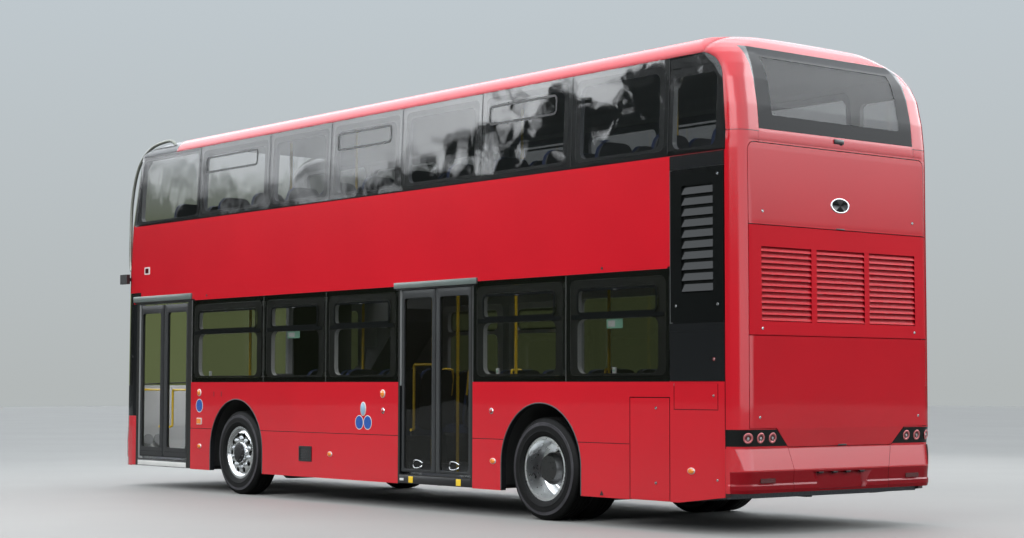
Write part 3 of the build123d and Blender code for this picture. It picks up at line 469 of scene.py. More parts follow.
def addBlock(bm, low, high, bevel=0.0, material=0):
    others = set(bm.faces)
    made = bmesh.ops.create_cube(bm, size=1)["verts"]
    for vert in made:
        vert.co = Vector([low[i] if vert.co[i] < 0 else high[i] for i in range(3)])
    paintNew(bm, others, material)
    if bevel > 0:
        bevelEdges(bm, list({edge for vert in made for edge in vert.link_edges}), bevel)


def addSideBlock(bm, box, y0, y1, bevel=0.0, material=0):
    x0, x1, z0, z1 = box
    addBlock(bm, (x0, y0, z0), (x1, y1, z1), bevel, material)


def addRod(bm, start, end, radius, material=0, segments=16, endRadius=None):
    others = set(bm.faces)
    line = Vector(end) - Vector(start)
    turn = line.to_track_quat("Z", "Y").to_matrix().to_4x4()
    place = Matrix.Translation((Vector(start) + Vector(end)) / 2) @ turn
    bmesh.ops.create_cone(bm, cap_ends=True, segments=segments, radius1=radius,
                          radius2=radius if endRadius is None else endRadius, depth=line.length, matrix=place)
    paintNew(bm, others, material)


def addSpin(bm, profile, centre, axis, material=0, steps=48):
    # a closed outline of radius and place along the axis, turned right round it
    axis = Vector(axis)
    across = Vector((0, 0, 1)) if abs(axis.z) < 0.9 else Vector((1, 0, 0))
    across = (across - axis * across.dot(axis)).normalized()
    others = set(bm.faces)
    verts = [bm.verts.new(Vector(centre) + across * radius + axis * along) for radius, along in profile]
    edges = [bm.edges.new((verts[i - 1], verts[i])) for i in range(len(verts))]
    bmesh.ops.spin(bm, geom=verts + edges, cent=centre, axis=axis, dvec=(0, 0, 0), angle=2 * pi, steps=steps,
                   use_merge=True, use_duplicate=False)
    paintNew(bm, others, material)


def addTube(bm, points, radius, material=0, smooth=True):
    # a round tube along a few points
    curve = bpy.data.curves.new("tubePath", "CURVE")
    curve.dimensions = "3D"
    curve.bevel_depth = radius
    curve.bevel_resolution = 3
    curve.use_fill_caps = True
    curve.resolution_u = 6
    spline = curve.splines.new("NURBS" if smooth else "POLY")
    spline.points.add(len(points) - 1)
    for spot, point in zip(spline.points, points):
        spot.co = (*point, 1)
    if smooth:
        spline.order_u = 3
        spline.use_endpoint_u = True
    holder = bpy.data.objects.new("tubePath", curve)
    mesh = bpy.data.meshes.new_from_object(holder)
    others = set(bm.faces)
    bm.from_mesh(mesh)
    paintNew(bm, others, material)
    bpy.data.objects.remove(holder)
    bpy.data.curves.remove(curve)
    bpy.data.meshes.remove(mesh)


def bothSides(bm):
    made = bmesh.ops.duplicate(bm, geom=[*bm.verts, *bm.edges, *bm.faces])
    bmesh.ops.scale(bm, vec=(1, -1, 1), verts=movedVerts(made))


def newPiece(bm, name, body, finishes, replaced=(), corner=35):
    # one mesh from what was built: welded, normals outwards, flat edges kept sharp
    bmesh.ops.remove_doubles(bm, verts=bm.verts, dist=weldDistance)
    bmesh.ops.recalc_face_normals(bm, faces=bm.faces)
    mesh = bpy.data.meshes.new(name)
    bm.to_mesh(mesh)
    bm.free()
    mesh.shade_smooth()
    mesh.set_sharp_from_angle(angle=radians(corner))
    piece = addObject(name, mesh)
    for word in finishes.split():
        mesh.materials.append(finish[word])
    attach(piece, body)
    if replaced:
        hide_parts(*replaced)
    return piece


def meshOfNode(node):
    bm = bmesh.new()
    bm.from_mesh(nodes[node].data)
    return bm


def looseBoxes(node):
    # the low and high corners of each separate solid of a CAD node
    bm = meshOfNode(node)
    bmesh.ops.remove_doubles(bm, verts=bm.verts, dist=weldDistance)
    boxes = []
    left = set(bm.verts)
    while left:
        queue = [left.pop()]
        found = []
        while queue:
            vert = queue.pop()
            found.append(vert.co)
            near = {edge.other_vert(vert) for edge in vert.link_edges} & left
            left -= near
            queue.extend(near)
        boxes.append([Vector([pick(spot[i] for spot in found) for i in range(3)]) for pick in (min, max)])
    bm.free()
    return sorted(boxes, key=lambda box: (box[0].z > deckSplit, box[0].x))


panes = looseBoxes("nearside_windows")
windowLook = {
    "border": 0.150, "proud": 0.003, "sink": 0.002, "radius": 0.055, "frame": 0.022, "seal": 0.002,
    "lowerHopper": (1.893, 2.130), "lowerBar": (1.852, 1.893), "barBorder": 0.07, "bar": (-0.006, 0.0075),
    "catch": (0.03, 0.030, 0.018), "upperFoot": 3.262, "widestJoint": 0.05,
    "upperHopper": (3.770, 3.965), "upperHopperEnds": ((-3.098, -2.074), (-0.440, 0.565), (2.200, 3.370)),
}


def makeWindowFittings(look):
    # opening top lights, their black rails, and the joints between the panes of both decks
    rows = [[box for box in panes if (box[0].z > deckSplit) == upper] for upper in (False, True)]
    skin = max(high.y for low, high in rows[0])
    sink, width = look["sink"], look["frame"]
    depth, radii = (0, look["proud"] + sink, 0), (look["radius"], look["radius"] - width)
    bm = bmesh.new()
    for low, high in rows[0]:
        box = (low.x + look["border"], high.x - look["border"], *look["lowerHopper"])
        addRing(bm, cornersOnSide(box, skin - sink), cornersOnSide(inset(box, width), skin - sink), depth,
                radii)
        bar = (low.x + look["barBorder"], high.x - look["barBorder"], *look["lowerBar"])
        addSidePlate(bm, bar, skin + look["bar"][0], look["bar"][1], 0.008)
        middle, (half, foot, top) = (box[0] + box[1]) / 2, look["catch"]
        addSideBlock(bm, (middle - half, middle + half, box[3] - foot, box[3] - top), skin - 0.001,
                     skin + 0.007, 0.002)
    for ends in look["upperHopperEnds"]:
        box = (*ends, *look["upperHopper"])
        addRing(bm, cornersOnBand(box, -sink), cornersOnBand(inset(box, width), -sink), depth, radii)
    bothSides(bm)
    newPiece(bm, "topLightFrames", "root", "glossBlack")

    bm = bmesh.new()
    for row in rows:
        for (low, high), after in zip(row, row[1:]):
            if after[0].x - high.x > look["widestJoint"]:
                continue
            middle, foot, top = (high.x + after[0].x) / 2, low.z, high.z - 0.004
            ends = (middle - look["seal"], middle + look["seal"])
            if foot > deckSplit:
                corners = cornersOnBand((*ends, look["upperFoot"], top), -0.007)
                addPlate(bm, corners, (0, 0.005, 0), 0.001, 1, 1)
            else:
                addSidePlate(bm, (*ends, foot, top), skin - 0.007, 0.0065, 0.001, 0, 1)
    bothSides(bm)
    newPiece(bm, "paneJoints", "root", "jointGrey blackTrim")


makeWindowFittings(windowLook)

surroundLook = {
    "inside": 1.2165, "behind": 1.2655, "aperture": 0.052, "border": 0.150, "upperBorder": 0.115,
    "lowerFoot": (1.342, 1.362), "lowerSplit": 1.872, "rail": 0.020, "gap": 0.0005,
    "lowerTop": (2.206, 2.135), "upperFoot": (3.292, 3.318), "upperTop": (4.046, 3.985),
    "upperEnds": (-5.2, 4.9), "behindBand": 0.009, "radius": 0.075, "depth": 0.046,
    "outerRadii": (0.002, 0.060),
}


def makeSurrounds(look):
    # moulded window surrounds behind the glass: black to the outside, pale on the reveals
    bm = bmesh.new()
    split, rail, under = look["lowerSplit"], look["rail"], look["behindBand"]
    (foot, clearFoot), (top, clearTop) = look["lowerFoot"], look["lowerTop"]
    (upperFoot, upperClear), (upperTop, upperClearTop) = look["upperFoot"], look["upperTop"]
    for low, high in panes:
        ends = (low.x + look["aperture"], high.x - look["aperture"])
        if low.z < deckSplit:
            clear = (low.x + look["border"], high.x - look["border"])
            y, depth = look["inside"], (0, look["behind"] - look["inside"], 0)
            for outer, inner in (((foot, split), (clearFoot, split - rail)),
                                 ((split + look["gap"], top), (split + rail, clearTop))):
                addRing(bm, cornersOnSide((*ends, *outer), y), cornersOnSide((*clear, *inner), y), depth,
                        (look["outerRadii"][0], look["radius"]))
        elif look["upperEnds"][0] < low.x and high.x < look["upperEnds"][1]:
            clear = (low.x + look["upperBorder"], high.x - look["upperBorder"])
            addRing(bm, cornersOnBand((*ends, upperFoot, upperTop), -look["depth"] - under),
                    cornersOnBand((*clear, upperClear, upperClearTop), -look["depth"] - under),
                    (0, look["depth"], 0), (look["outerRadii"][1], look["radius"]))
    for face in bm.faces:
        middle = face.calc_center_median()
        upper = middle.z > deckSplit
        skin = bandY(middle.z) - under if upper else look["behind"]
        if middle.y <= skin - 0.003:
            face.material_index = 2 if upper else 1
    bothSides(bm)
    newPiece(bm, "windowSurrounds", "root", "blackTrim revealGrey cabinGrey")


makeSurrounds(surroundLook)
print("window fittings ready")

doorLook = {
    "foot": 0.376, "top": 2.236, "thick": 0.036, "face": 1.262, "topRail": 0.100, "radii": (0.020, 0.026),
    "glassFrom": 0.014, "glass": 0.008, "overlap": 0.002, "bevel": 0.004, "seal": 0.0035,
    "railRadius": 0.014, "railY": 1.205, "columnFrom": 0.059, "pivotY": (1.194, 1.190),
    # each pivot: reach from the column, foot and top of its block, half width, pin radius, pin's foot and top
    "pivots": ((0.300, 2.196, 2.236, 0.022, 0.009, 2.216, 2.274),
               (0.300, 0.376, 0.406, 0.022, 0.009, 0.353, 0.386),
               (0.600, 2.196, 2.236, 0.016, 0.007, 2.216, 2.312)),
    "middle": {"hingeStile": 0.038, "meetingStile": 0.060, "footRail": 0.030, "loops": (0.028, -0.028),
               "kicks": (), "post": 0.136, "end": 0.545, "railTop": 1.462, "railFoot": 0.800,
               "frame": "doorGrey", "pane": "doorGlass"},
    "front": {"hingeStile": 0.046, "meetingStile": 0.085, "footRail": 0.118, "loops": (),
              "kicks": ((0.014, 0.060), (0.072, 0.112)),
              "post": 0.460, "end": 0.032, "railTop": 1.195, "railFoot": 0.746,
              "frame": "frontDoorGrey", "pane": "frontDoorGlass"},
    "footLoop": {"up": 0.460, "half": 0.075, "bend": 0.012, "radius": 0.007},
}


def makeDoorLeaf(name, look, hingeSide, grabRail):
    # one glazed leaf: framed pane, rubber edges, pivots, a grab rail and kick plates or a foot loop
    low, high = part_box(name)
    kind, word = look[name.split("_")[0]], name.replace("_", "")
    x0, x1, z0, z1 = whole = (low[0], high[0], look["foot"], look["top"])
    face, back = look["face"], look["face"] - look["thick"]
    stiles = (kind["hingeStile"], kind["meetingStile"])[::-hingeSide]
    pane = (x0 + stiles[0], x1 - stiles[1], z0 + kind["footRail"], z1 - look["topRail"])
    bm = bmesh.new()
    addRing(bm, cornersOnSide(whole, back), cornersOnSide(pane, back), (0, look["thick"], 0), look["radii"])
    edges = [edge for edge in bm.edges if edge.calc_length() > 0.2 and edge.calc_face_angle(0) > 1]
    bevelEdges(bm, edges, look["bevel"])
    addSidePlate(bm, (x0 + 0.03, x1 - 0.03, z1 - 0.058, z1 - 0.052), face - 0.001, 0.0025, 0.002, 0, 1)
    for x in (x0 - look["seal"], x1):
        addSideBlock(bm, (x, x + look["seal"], z0 + 0.02, z1 - 0.02), back + 0.006, face - 0.006, 0.001, 1)
    columnX = x0 - look["columnFrom"] if hingeSide < 0 else x1 + look["columnFrom"]
    blockY, pinY = look["pivotY"]
    for reach, foot, top, half, radius, pinFoot, pinTop in look["pivots"]:
        x = columnX - hingeSide * reach
        addSideBlock(bm, (x - half, x + half, foot, top), blockY - half, back + 0.004, 0.002, 2)
        addRod(bm, (x, pinY, pinFoot), (x, pinY, pinTop), radius, 2)
    if grabRail:
        hinge = x1 if hingeSide > 0 else x0
        post, end = hinge - hingeSide * kind["post"], hinge - hingeSide * kind["end"]
        bend = 0.05 if end > post else -0.05
        y, top, foot = look["railY"], kind["railTop"], kind["railFoot"]
        addTube(bm, [(end, back + 0.002, top), (end, y, top), (end - bend, y, top), (post + bend, y, top),
                     (post, y, top), (post, y, top - 0.06), (post, y, foot + 0.05), (post, y, foot),
                     (post, back + 0.020, foot)], look["railRadius"], 3)
    loop, middle = look["footLoop"], (pane[0] + pane[1]) / 2
    for rise in kind["loops"]:
        out = rise + (loop["bend"] if rise > 0 else -loop["bend"])
        addTube(bm, [(middle + share * loop["half"], face + y, loop["up"] + up)
                     for share, y, up in ((-1, -0.010, rise / 2), (-0.7, 0.012, out), (0.7, 0.012, out),
                                          (1, -0.010, rise / 2))], loop["radius"], 2)
    for foot, top in kind["kicks"]:
        addSidePlate(bm, (x0 + 0.025, x1 - 0.025, z0 + foot, z0 + top), face - 0.001, 0.0022, 0.004, 1)
    finishes = kind["frame"] + " blackTrim brightSteel railYellow"
    newPiece(bm, word + "Frame", name, finishes, [name])
    bm = bmesh.new()
    addSidePlate(bm, inset(pane, -look["overlap"]), back + look["glassFrom"], look["glass"], 0.024)
    newPiece(bm, word + "Pane", name, kind["pane"])


for doorway in ("middle", "front"):
    makeDoorLeaf(doorway + "_door_rear_leaf", doorLook, -1, doorway == "front")
    makeDoorLeaf(doorway + "_door_front_leaf", doorLook, 1, True)
print("door leaves ready")

portalLook = {
    "headerY": (1.2745, 1.300), "dripEdge": (0.02, 0.014, 0.001), "stripZ": (0.262, 0.343),
    "stripY": (1.2745, 1.279), "markY": (1.2785, 1.281), "markHalf": 0.038,
    "middle": {"header": (-1.935, -0.560, 2.239, 2.300), "jambs": (-1.828, -0.646), "marks": (-0.847, -1.640),
               "silver": (-0.726, -0.658, 0.288, 0.312)},
    "front": {"header": (3.620, 5.060, 2.279, 2.352), "jambs": (3.716, 4.926), "marks": (),
              "silver": (3.721, 4.921, 0.268, 0.326)},
}


def makeDoorways(look):
    # drip rail over each doorway, and the black threshold with its yellow edge marks
    bm = bmesh.new()
    y0, y1 = look["headerY"]
    short, foot, top = look["dripEdge"]
    low, high = look["stripZ"]
    for doorway in ("middle", "front"):
        place = look[doorway]
        x0, x1, z0 = place["header"][:3]
        addSideBlock(bm, place["header"], y0, y1, 0.006)
        addSideBlock(bm, (x0 + short, x1 - short, z0 - foot, z0 - top), y0, y0 + 0.006, 0.001, 1)
        rear, front = place["jambs"]
        addSideBlock(bm, (rear - 0.005, front + 0.005, low, high), *look["stripY"], 0.0015, 1)
        for x in place["marks"]:
            addSideBlock(bm, (x - look["markHalf"], x + look["markHalf"], low + 0.008, high - 0.008),
                         *look["markY"], 0.001, 2)
        addSideBlock(bm, place["silver"], *look["markY"], 0.001, 3)
    newPiece(bm, "doorwayTrims", "root", "dripGrey blackTrim railYellow stepWhite")


makeDoorways(portalLook)

tyreLook = {
    "steps": 80, "sheenRing": (0.405, 0.435),
    "half": ((0.2862, 0.0), (0.2862, 0.0985), (0.2997, 0.0985), (0.2997, 0.1185), (0.308, 0.1245),
             (0.332, 0.1315), (0.345, 0.1345), (0.348, 0.1360), (0.352, 0.1350), (0.378, 0.1372),
             (0.402, 0.1368), (0.424, 0.1335), (0.428, 0.1340), (0.432, 0.1310), (0.450, 0.1215),
             (0.464, 0.1130), (0.4735, 0.1035), (0.4774, 0.0930), (0.4780, 0.0770), (0.4665, 0.0755),
             (0.4665, 0.0680), (0.4782, 0.0665), (0.4785, 0.0310), (0.4665, 0.0295), (0.4665, 0.0215),
             (0.4785, 0.0200), (0.4785, 0.0)),
}
wheelLook = {
    "axleZ": 0.4785, "bolts": 8, "nuts": 10, "nutCircle": 0.1675, "nutRadius": 0.0185, "nutLength": 0.032,
    "washer": (1.3, 0.012), "stud": (0.5, 0.008),
    "front": {
        "x": 2.585, "tyres": "Tyre", "wheels": "wheel", "rows": (1.1025,), "hubY": 1.1025,
        "bolt": (0.088, 0.1205, 0.009), "nutFrom": 0.088, "nutFinish": 1,
        "hub": ((0.0, 0.1190), (0.112, 0.1190), (0.114, 0.1225), (0.104, 0.1275), (0.070, 0.1300),
                (0.066, 0.1355), (0.050, 0.1368), (0.0, 0.1368))},
    "rear": {
        "x": -2.880, "tyres": "Tyres", "wheels": "wheels", "rows": (1.1025, 0.7825), "hubY": 0.9425,
        "bolt": (0.1080, 0.1590, 0.0115), "nutFrom": 0.012, "nutFinish": 0,
        "hub": ((0.0, 0.0135), (0.1400, 0.0135), (0.1520, 0.0160), (0.1520, 0.1000), (0.1380, 0.1120),
                (0.1300, 0.1500), (0.1240, 0.1600), (0.0900, 0.1640), (0.0860, 0.2050), (0.0760, 0.2140),
                (0.0400, 0.2160), (0.0380, 0.2260), (0.0, 0.2270))},
}


def addTyre(bm, look, centre):
    outline = [*look["half"], *[(radius, -along) for radius, along in look["half"][-2:0:-1]]]
    addSpin(bm, outline, centre, (0, 1, 0), 0, look["steps"])
    # faces in the ring on the shoulder take the lighter grey of a painted sheen
    low, high = look["sheenRing"]
    for face in bm.faces:
        middle = face.calc_center_median() - Vector(centre)
        face.material_index = 1 if low < (middle.x ** 2 + middle.z ** 2) ** 0.5 < high else 0


def addCircle(centre, side, count, circle, start):
    # places evenly round a wheel's axis
    turns = [2 * pi * (i + 0.5) / count for i in range(count)]
    return [centre + Vector((circle * cos(turn), side * start, circle * sin(turn))) for turn in turns]


def makeWheels(look, tyre):
    # tyres with grooved treads, dark hubs and bright nuts for the front singles and rear twins
    for side, word in ((1, "left"), (-1, "right")):
        for end in ("front", "rear"):
            axle = look[end]
            bm = bmesh.new()
            for y in axle["rows"]:
                addTyre(bm, tyre, (axle["x"], side * y, look["axleZ"]))
            body = end + "_" + word + "_" + axle["wheels"]
            newPiece(bm, end + word + axle["tyres"], body, "tyreRubber wornRubber",
                     [body.replace("wheel", "tyre")])
        for end in ("front", "rear"):
            axle = look[end]
            centre, outward = Vector((axle["x"], side * axle["hubY"], look["axleZ"])), Vector((0, side, 0))
            circle, boltFrom, boltRadius = axle["bolt"]
            finishOfNut, radius = axle["nutFinish"], look["nutRadius"]
            (washerWide, washerThick), (studWide, studLong) = look["washer"], look["stud"]
            bm = bmesh.new()
            addSpin(bm, axle["hub"], centre, outward, 0, 40)
            for spot in addCircle(centre, side, look["bolts"], circle, boltFrom):
                addRod(bm, spot, spot + outward * (0.004 + boltRadius), boltRadius, 2, 6)
            for spot in addCircle(centre, side, look["nuts"], look["nutCircle"], axle["nutFrom"]):
                tip = spot + outward * look["nutLength"]
                addRod(bm, spot, spot + outward * washerThick, radius * washerWide, finishOfNut, 12)
                addRod(bm, spot, tip, radius, finishOfNut, 6)
                addRod(bm, tip - outward * 0.001, tip + outward * studLong, radius * studWide, finishOfNut, 8)
            body = end + "_" + word + "_" + axle["wheels"]
            newPiece(bm, body.replace("_", "") + "Hub", body, "hubIron brightSteel boltGrey")


makeWheels(wheelLook, tyreLook)
print("wheels ready")

archLook = {"centreZ": 0.510, "radius": 0.580, "bead": 0.007, "y": 1.2730, "foot": 0.262, "steps": 28}


def makeArchLips(look, wheels):
    # a rubber bead round the edge of each wheel arch
    bm = bmesh.new()
    radius, steps = look["radius"], look["steps"]
    for end in ("front", "rear"):
        x = wheels[end]["x"]
        arc = [(radius * cos(pi * i / steps), look["centreZ"] + radius * sin(pi * i / steps))
               for i in range(steps + 1)]
        line = [(radius, look["foot"]), *arc, (-radius, look["foot"])]
        addTube(bm, [(x + along, look["y"], z) for along, z in line], look["bead"], 0, False)
    bothSides(bm)
    newPiece(bm, "archLips", "root", "lipRubber")


makeArchLips(archLook, wheelLook)

rearLook = {
    "skinX": -5.450, "lampY": (1.150, 1.008, 0.866), "lampZ": 0.815,
    # rim, lens and clear middle: outline, finish and steps
    "lampRings": (
        (((0.029, -0.001), (0.045, -0.001), (0.045, 0.0024), (0.042, 0.0040), (0.033, 0.0040),
          (0.029, 0.0020)), 0, 36),
        (((0.0, -0.001), (0.0295, -0.001), (0.0295, 0.0018), (0.021, 0.0030), (0.019, 0.0018), (0.0, 0.0022)),
         1, 36),
        (((0.0, 0.0), (0.011, 0.0), (0.010, 0.0036), (0.0, 0.0040)), 2, 24),
    ),
    "badge": (0.0, 2.822, 0.122, 0.066), "badgeX": 0.0088, "badgeRim": 0.84,
    "badgeOutline": ((0.0, 0.0), (1.0, 0.0), (1.0, 0.006), (0.95, 0.0085), (0.88, 0.0085), (0.84, 0.0065),
                     (0.0, 0.0080)),
    "camera": (0.0, 3.381), "cameraEye": 0.030,
    # each flap: a lock's y and z, how deep it sits, how proud it stands, and the notch's depth and z
    "flaps": {"rear_top_flap": (0.975, 2.722, 0.005, 0.7, 0.0035, 2.6165),
              "rear_grille_flap": (0.985, 1.733, 0.0002, 0.1, 0.0012, 1.6845),
              "rear_bottom_flap": (1.024, 0.988, 0.0002, 0.1, 0.0012, 0.7450)},
    "reflector": (0.84, 1.02, 0.440, 0.478), "plateLampY": (0.055, 0.235),
    "clearHalf": 0.83, "clearZ": (3.55, 4.07), "borderX": (-0.0012, 0.0010),
}


def addLock(bm, spot, outward, proud=1.0):
    # a small round quarter-turn lock with its slot
    spot, outward, radius = Vector(spot), Vector(outward) * proud, 0.011
    addRod(bm, spot - outward * 0.003, spot + outward * 0.003, radius * 1.25, 1, 20)
    addRod(bm, spot + outward * 0.002, spot + outward * 0.0055, radius, 0, 20, radius * 0.85)
    addRod(bm, spot + outward * 0.004, spot + outward * 0.0065, radius * 0.4, 1, 4)


def skinSpot(node, start, heading):
    # where a line first meets a CAD node, and which way its surface faces there
    bm = meshOfNode(node)
    spot, facing = BVHTree.FromBMesh(bm).ray_cast(Vector(start), Vector(heading))[:2]
    bm.free()
    return spot, facing


def makeRearBorder(look):
    # the black band printed round the rear window: its outer skin, less the clear middle
    bm = meshOfNode("rear_window")
    bmesh.ops.remove_doubles(bm, verts=bm.verts, dist=weldDistance)
    bm.normal_update()
    bmesh.ops.delete(bm, geom=[face for face in bm.faces if face.normal.x > -0.3], context="FACES")
    halfWide, (low, high) = look["clearHalf"], look["clearZ"]
    for place, across in (((0, halfWide, 0), (0, 1, 0)), ((0, -halfWide, 0), (0, 1, 0)),
                          ((0, 0, low), (0, 0, 1)), ((0, 0, high), (0, 0, 1))):
        geometry = [*bm.verts, *bm.edges, *bm.faces]
        bmesh.ops.bisect_plane(bm, geom=geometry, plane_co=place, plane_no=across)
    middles = [(face, face.calc_center_median()) for face in bm.faces]
    clear = [face for face, at in middles if abs(at.y) < halfWide and low < at.z < high]
    bmesh.ops.delete(bm, geom=clear, context="FACES")
    out, thickness = look["borderX"]
    bmesh.ops.translate(bm, verts=bm.verts, vec=(out, 0, 0))
    thicken(bm, bm.faces[:], (thickness, 0, 0))
    newPiece(bm, "rearWindowBorder", "root", "windowBlack")


def makeRearFittings(look):
    # ring lamps, blank oval badge, camera, flap locks and finger notches, reflectors, plate lamps
    skin = look["skinX"]
    bm = bmesh.new()
    for y in look["lampY"]:
        spot, facing = skinSpot("tail_lamps", (skin - 0.5, y, look["lampZ"]), (1, 0, 0))
        for profile, material, steps in look["lampRings"]:
            addSpin(bm, profile, spot, facing, material, steps)
    bothSides(bm)
    newPiece(bm, "rearLampRings", "root", "ringRed lampDeepRed lampClear")

    y, z, halfWide, halfHigh = look["badge"]
    bm = bmesh.new()
    addSpin(bm, look["badgeOutline"], (0, 0, 0), (-1, 0, 0), 0, 48)
    for face in bm.faces:
        middle = face.calc_center_median()
        within = (middle.y ** 2 + middle.z ** 2) ** 0.5 < look["badgeRim"]
        face.material_index = 1 if middle.x < -0.004 and within else 0
    bmesh.ops.scale(bm, verts=bm.verts, vec=(1, halfWide, halfHigh))
    bmesh.ops.translate(bm, verts=bm.verts, vec=(skin + look["badgeX"], y, z))
    newPiece(bm, "blankBadge", "rear_top_flap", "brightSteel glossBlack")

    y, z = look["camera"]
    eye = y - look["cameraEye"]
    bm = bmesh.new()
    addBlock(bm, (skin + 0.002, y - 0.062, z - 0.016), (skin + 0.040, y + 0.062, z + 0.026), 0.008)
    addRod(bm, (skin + 0.036, eye, z), (skin + 0.008, eye, z - 0.014), 0.016, 0, 20)
    addRod(bm, (skin + 0.0095, eye, z - 0.013), (skin + 0.007, eye, z - 0.0145), 0.010, 1, 16)
    newPiece(bm, "rearCamera", "root", "blackTrim glossBlack")

    for flap, (y, z, sunk, proud, notchX, notchZ) in look["flaps"].items():
        bm = bmesh.new()
        for side in (1, -1):
            addLock(bm, (skin + sunk, side * y, z), (-1, 0, 0), proud)
        notchX += skin
        low, high = notchZ - 0.006, notchZ + 0.006
        addBlock(bm, (notchX - 0.001, -0.055, low), (notchX + 0.003, 0.055, high), 0.002, 1)
        newPiece(bm, flap.replace("_", "") + "Locks", flap, "brightSteel blackTrim")

    bm = bmesh.new()
    addPlate(bm, cornersOnEnd(look["reflector"], skin + 0.004), (-0.004, 0, 0), 0.010)
    bothSides(bm)
    newPiece(bm, "rearReflectors", "root", "lampDeepRed")

    bm = bmesh.new()
    for y in look["plateLampY"]:
        addBlock(bm, (skin + 0.005, y, 0.506), (skin + 0.038, y + 0.060, 0.524), 0.004)
        addBlock(bm, (skin + 0.010, y + 0.010, 0.5015), (skin + 0.032, y + 0.050, 0.5065), 0.001, 1)
    bothSides(bm)
    newPiece(bm, "plateLamps", "root", "blackTrim glossBlack")


makeRearFittings(rearLook)
makeRearBorder(rearLook)
print("rear fittings ready")

sideLook = {
    "y": 1.275,
    # x, z, half width and half height of each small oval lamp
    "ovals": ((3.422, 1.164, 0.042, 0.043), (-0.348, 1.166, 0.042, 0.043), (3.408, 0.533, 0.044, 0.028),
              (0.629, 0.517, 0.044, 0.028), (-2.180, 0.530, 0.044, 0.028), (-4.888, 0.530, 0.044, 0.028)),
    "ovalBase": ((0.0, -0.002), (1.0, -0.002), (1.0, 0.006), (0.9, 0.010), (0.88, 0.006), (0.0, 0.006)),
    "ovalDome": ((0.0, 0.003), (0.84, 0.003), (0.84, 0.010), (0.6, 0.018), (0.0, 0.021)),
    "sideLamp": (3.415, 0.827, 0.055, 0.038), "lensShare": 0.8,
    "blueSigns": ((3.419, 1.010, 0.080), (0.079, 0.864, 0.075), (-0.074, 0.864, 0.075)),
    "paleDisc": (0.004, 1.006, 0.050, 0.074),
    "buttons": ((-0.352, 0.989), (-2.155, 1.007)),
    "buttonParts": (((0.0, -0.002), (0.030, -0.002), (0.030, 0.004), (0.026, 0.008), (0.0, 0.008)),
                    ((0.0, 0.004), (0.019, 0.004), (0.018, 0.014), (0.014, 0.017), (0.0, 0.018))),
    "vent": (0.985, 1.235, 0.425, 0.590), "slats": 6,
    "locks": {"louvre_hatch": ((-5.212, 1.936), (-5.212, 3.04), (-4.705, 1.936)),
              "side_hatch": ((-4.452, 1.058), (-4.449, 0.411))},
    "rootLocks": ((-5.162, 1.476, -0.002), (-5.155, 1.168, 0), (-5.198, 0.463, 0)),
    "slots": ((3.085, 1.148), (2.915, 1.148)),
    "jackMark": (-3.743, 0.294, 0.026), "jackOutline": ((-1, -0.8), (1, -0.8), (0, 0.9)),
}


def addOval(bm, look, x, z, halfWide, halfHigh, material, rim):
    # a small domed oval lamp on its base
    others = set(bm.verts)
    addSpin(bm, look["ovalBase"], (0, 0, 0), (0, 1, 0), rim, 28)
    addSpin(bm, look["ovalDome"], (0, 0, 0), (0, 1, 0), material, 28)
    made = list(set(bm.verts) - others)
    bmesh.ops.scale(bm, verts=made, vec=(halfWide, 1, halfHigh))
    bmesh.ops.translate(bm, verts=made, vec=(x, look["y"], z))


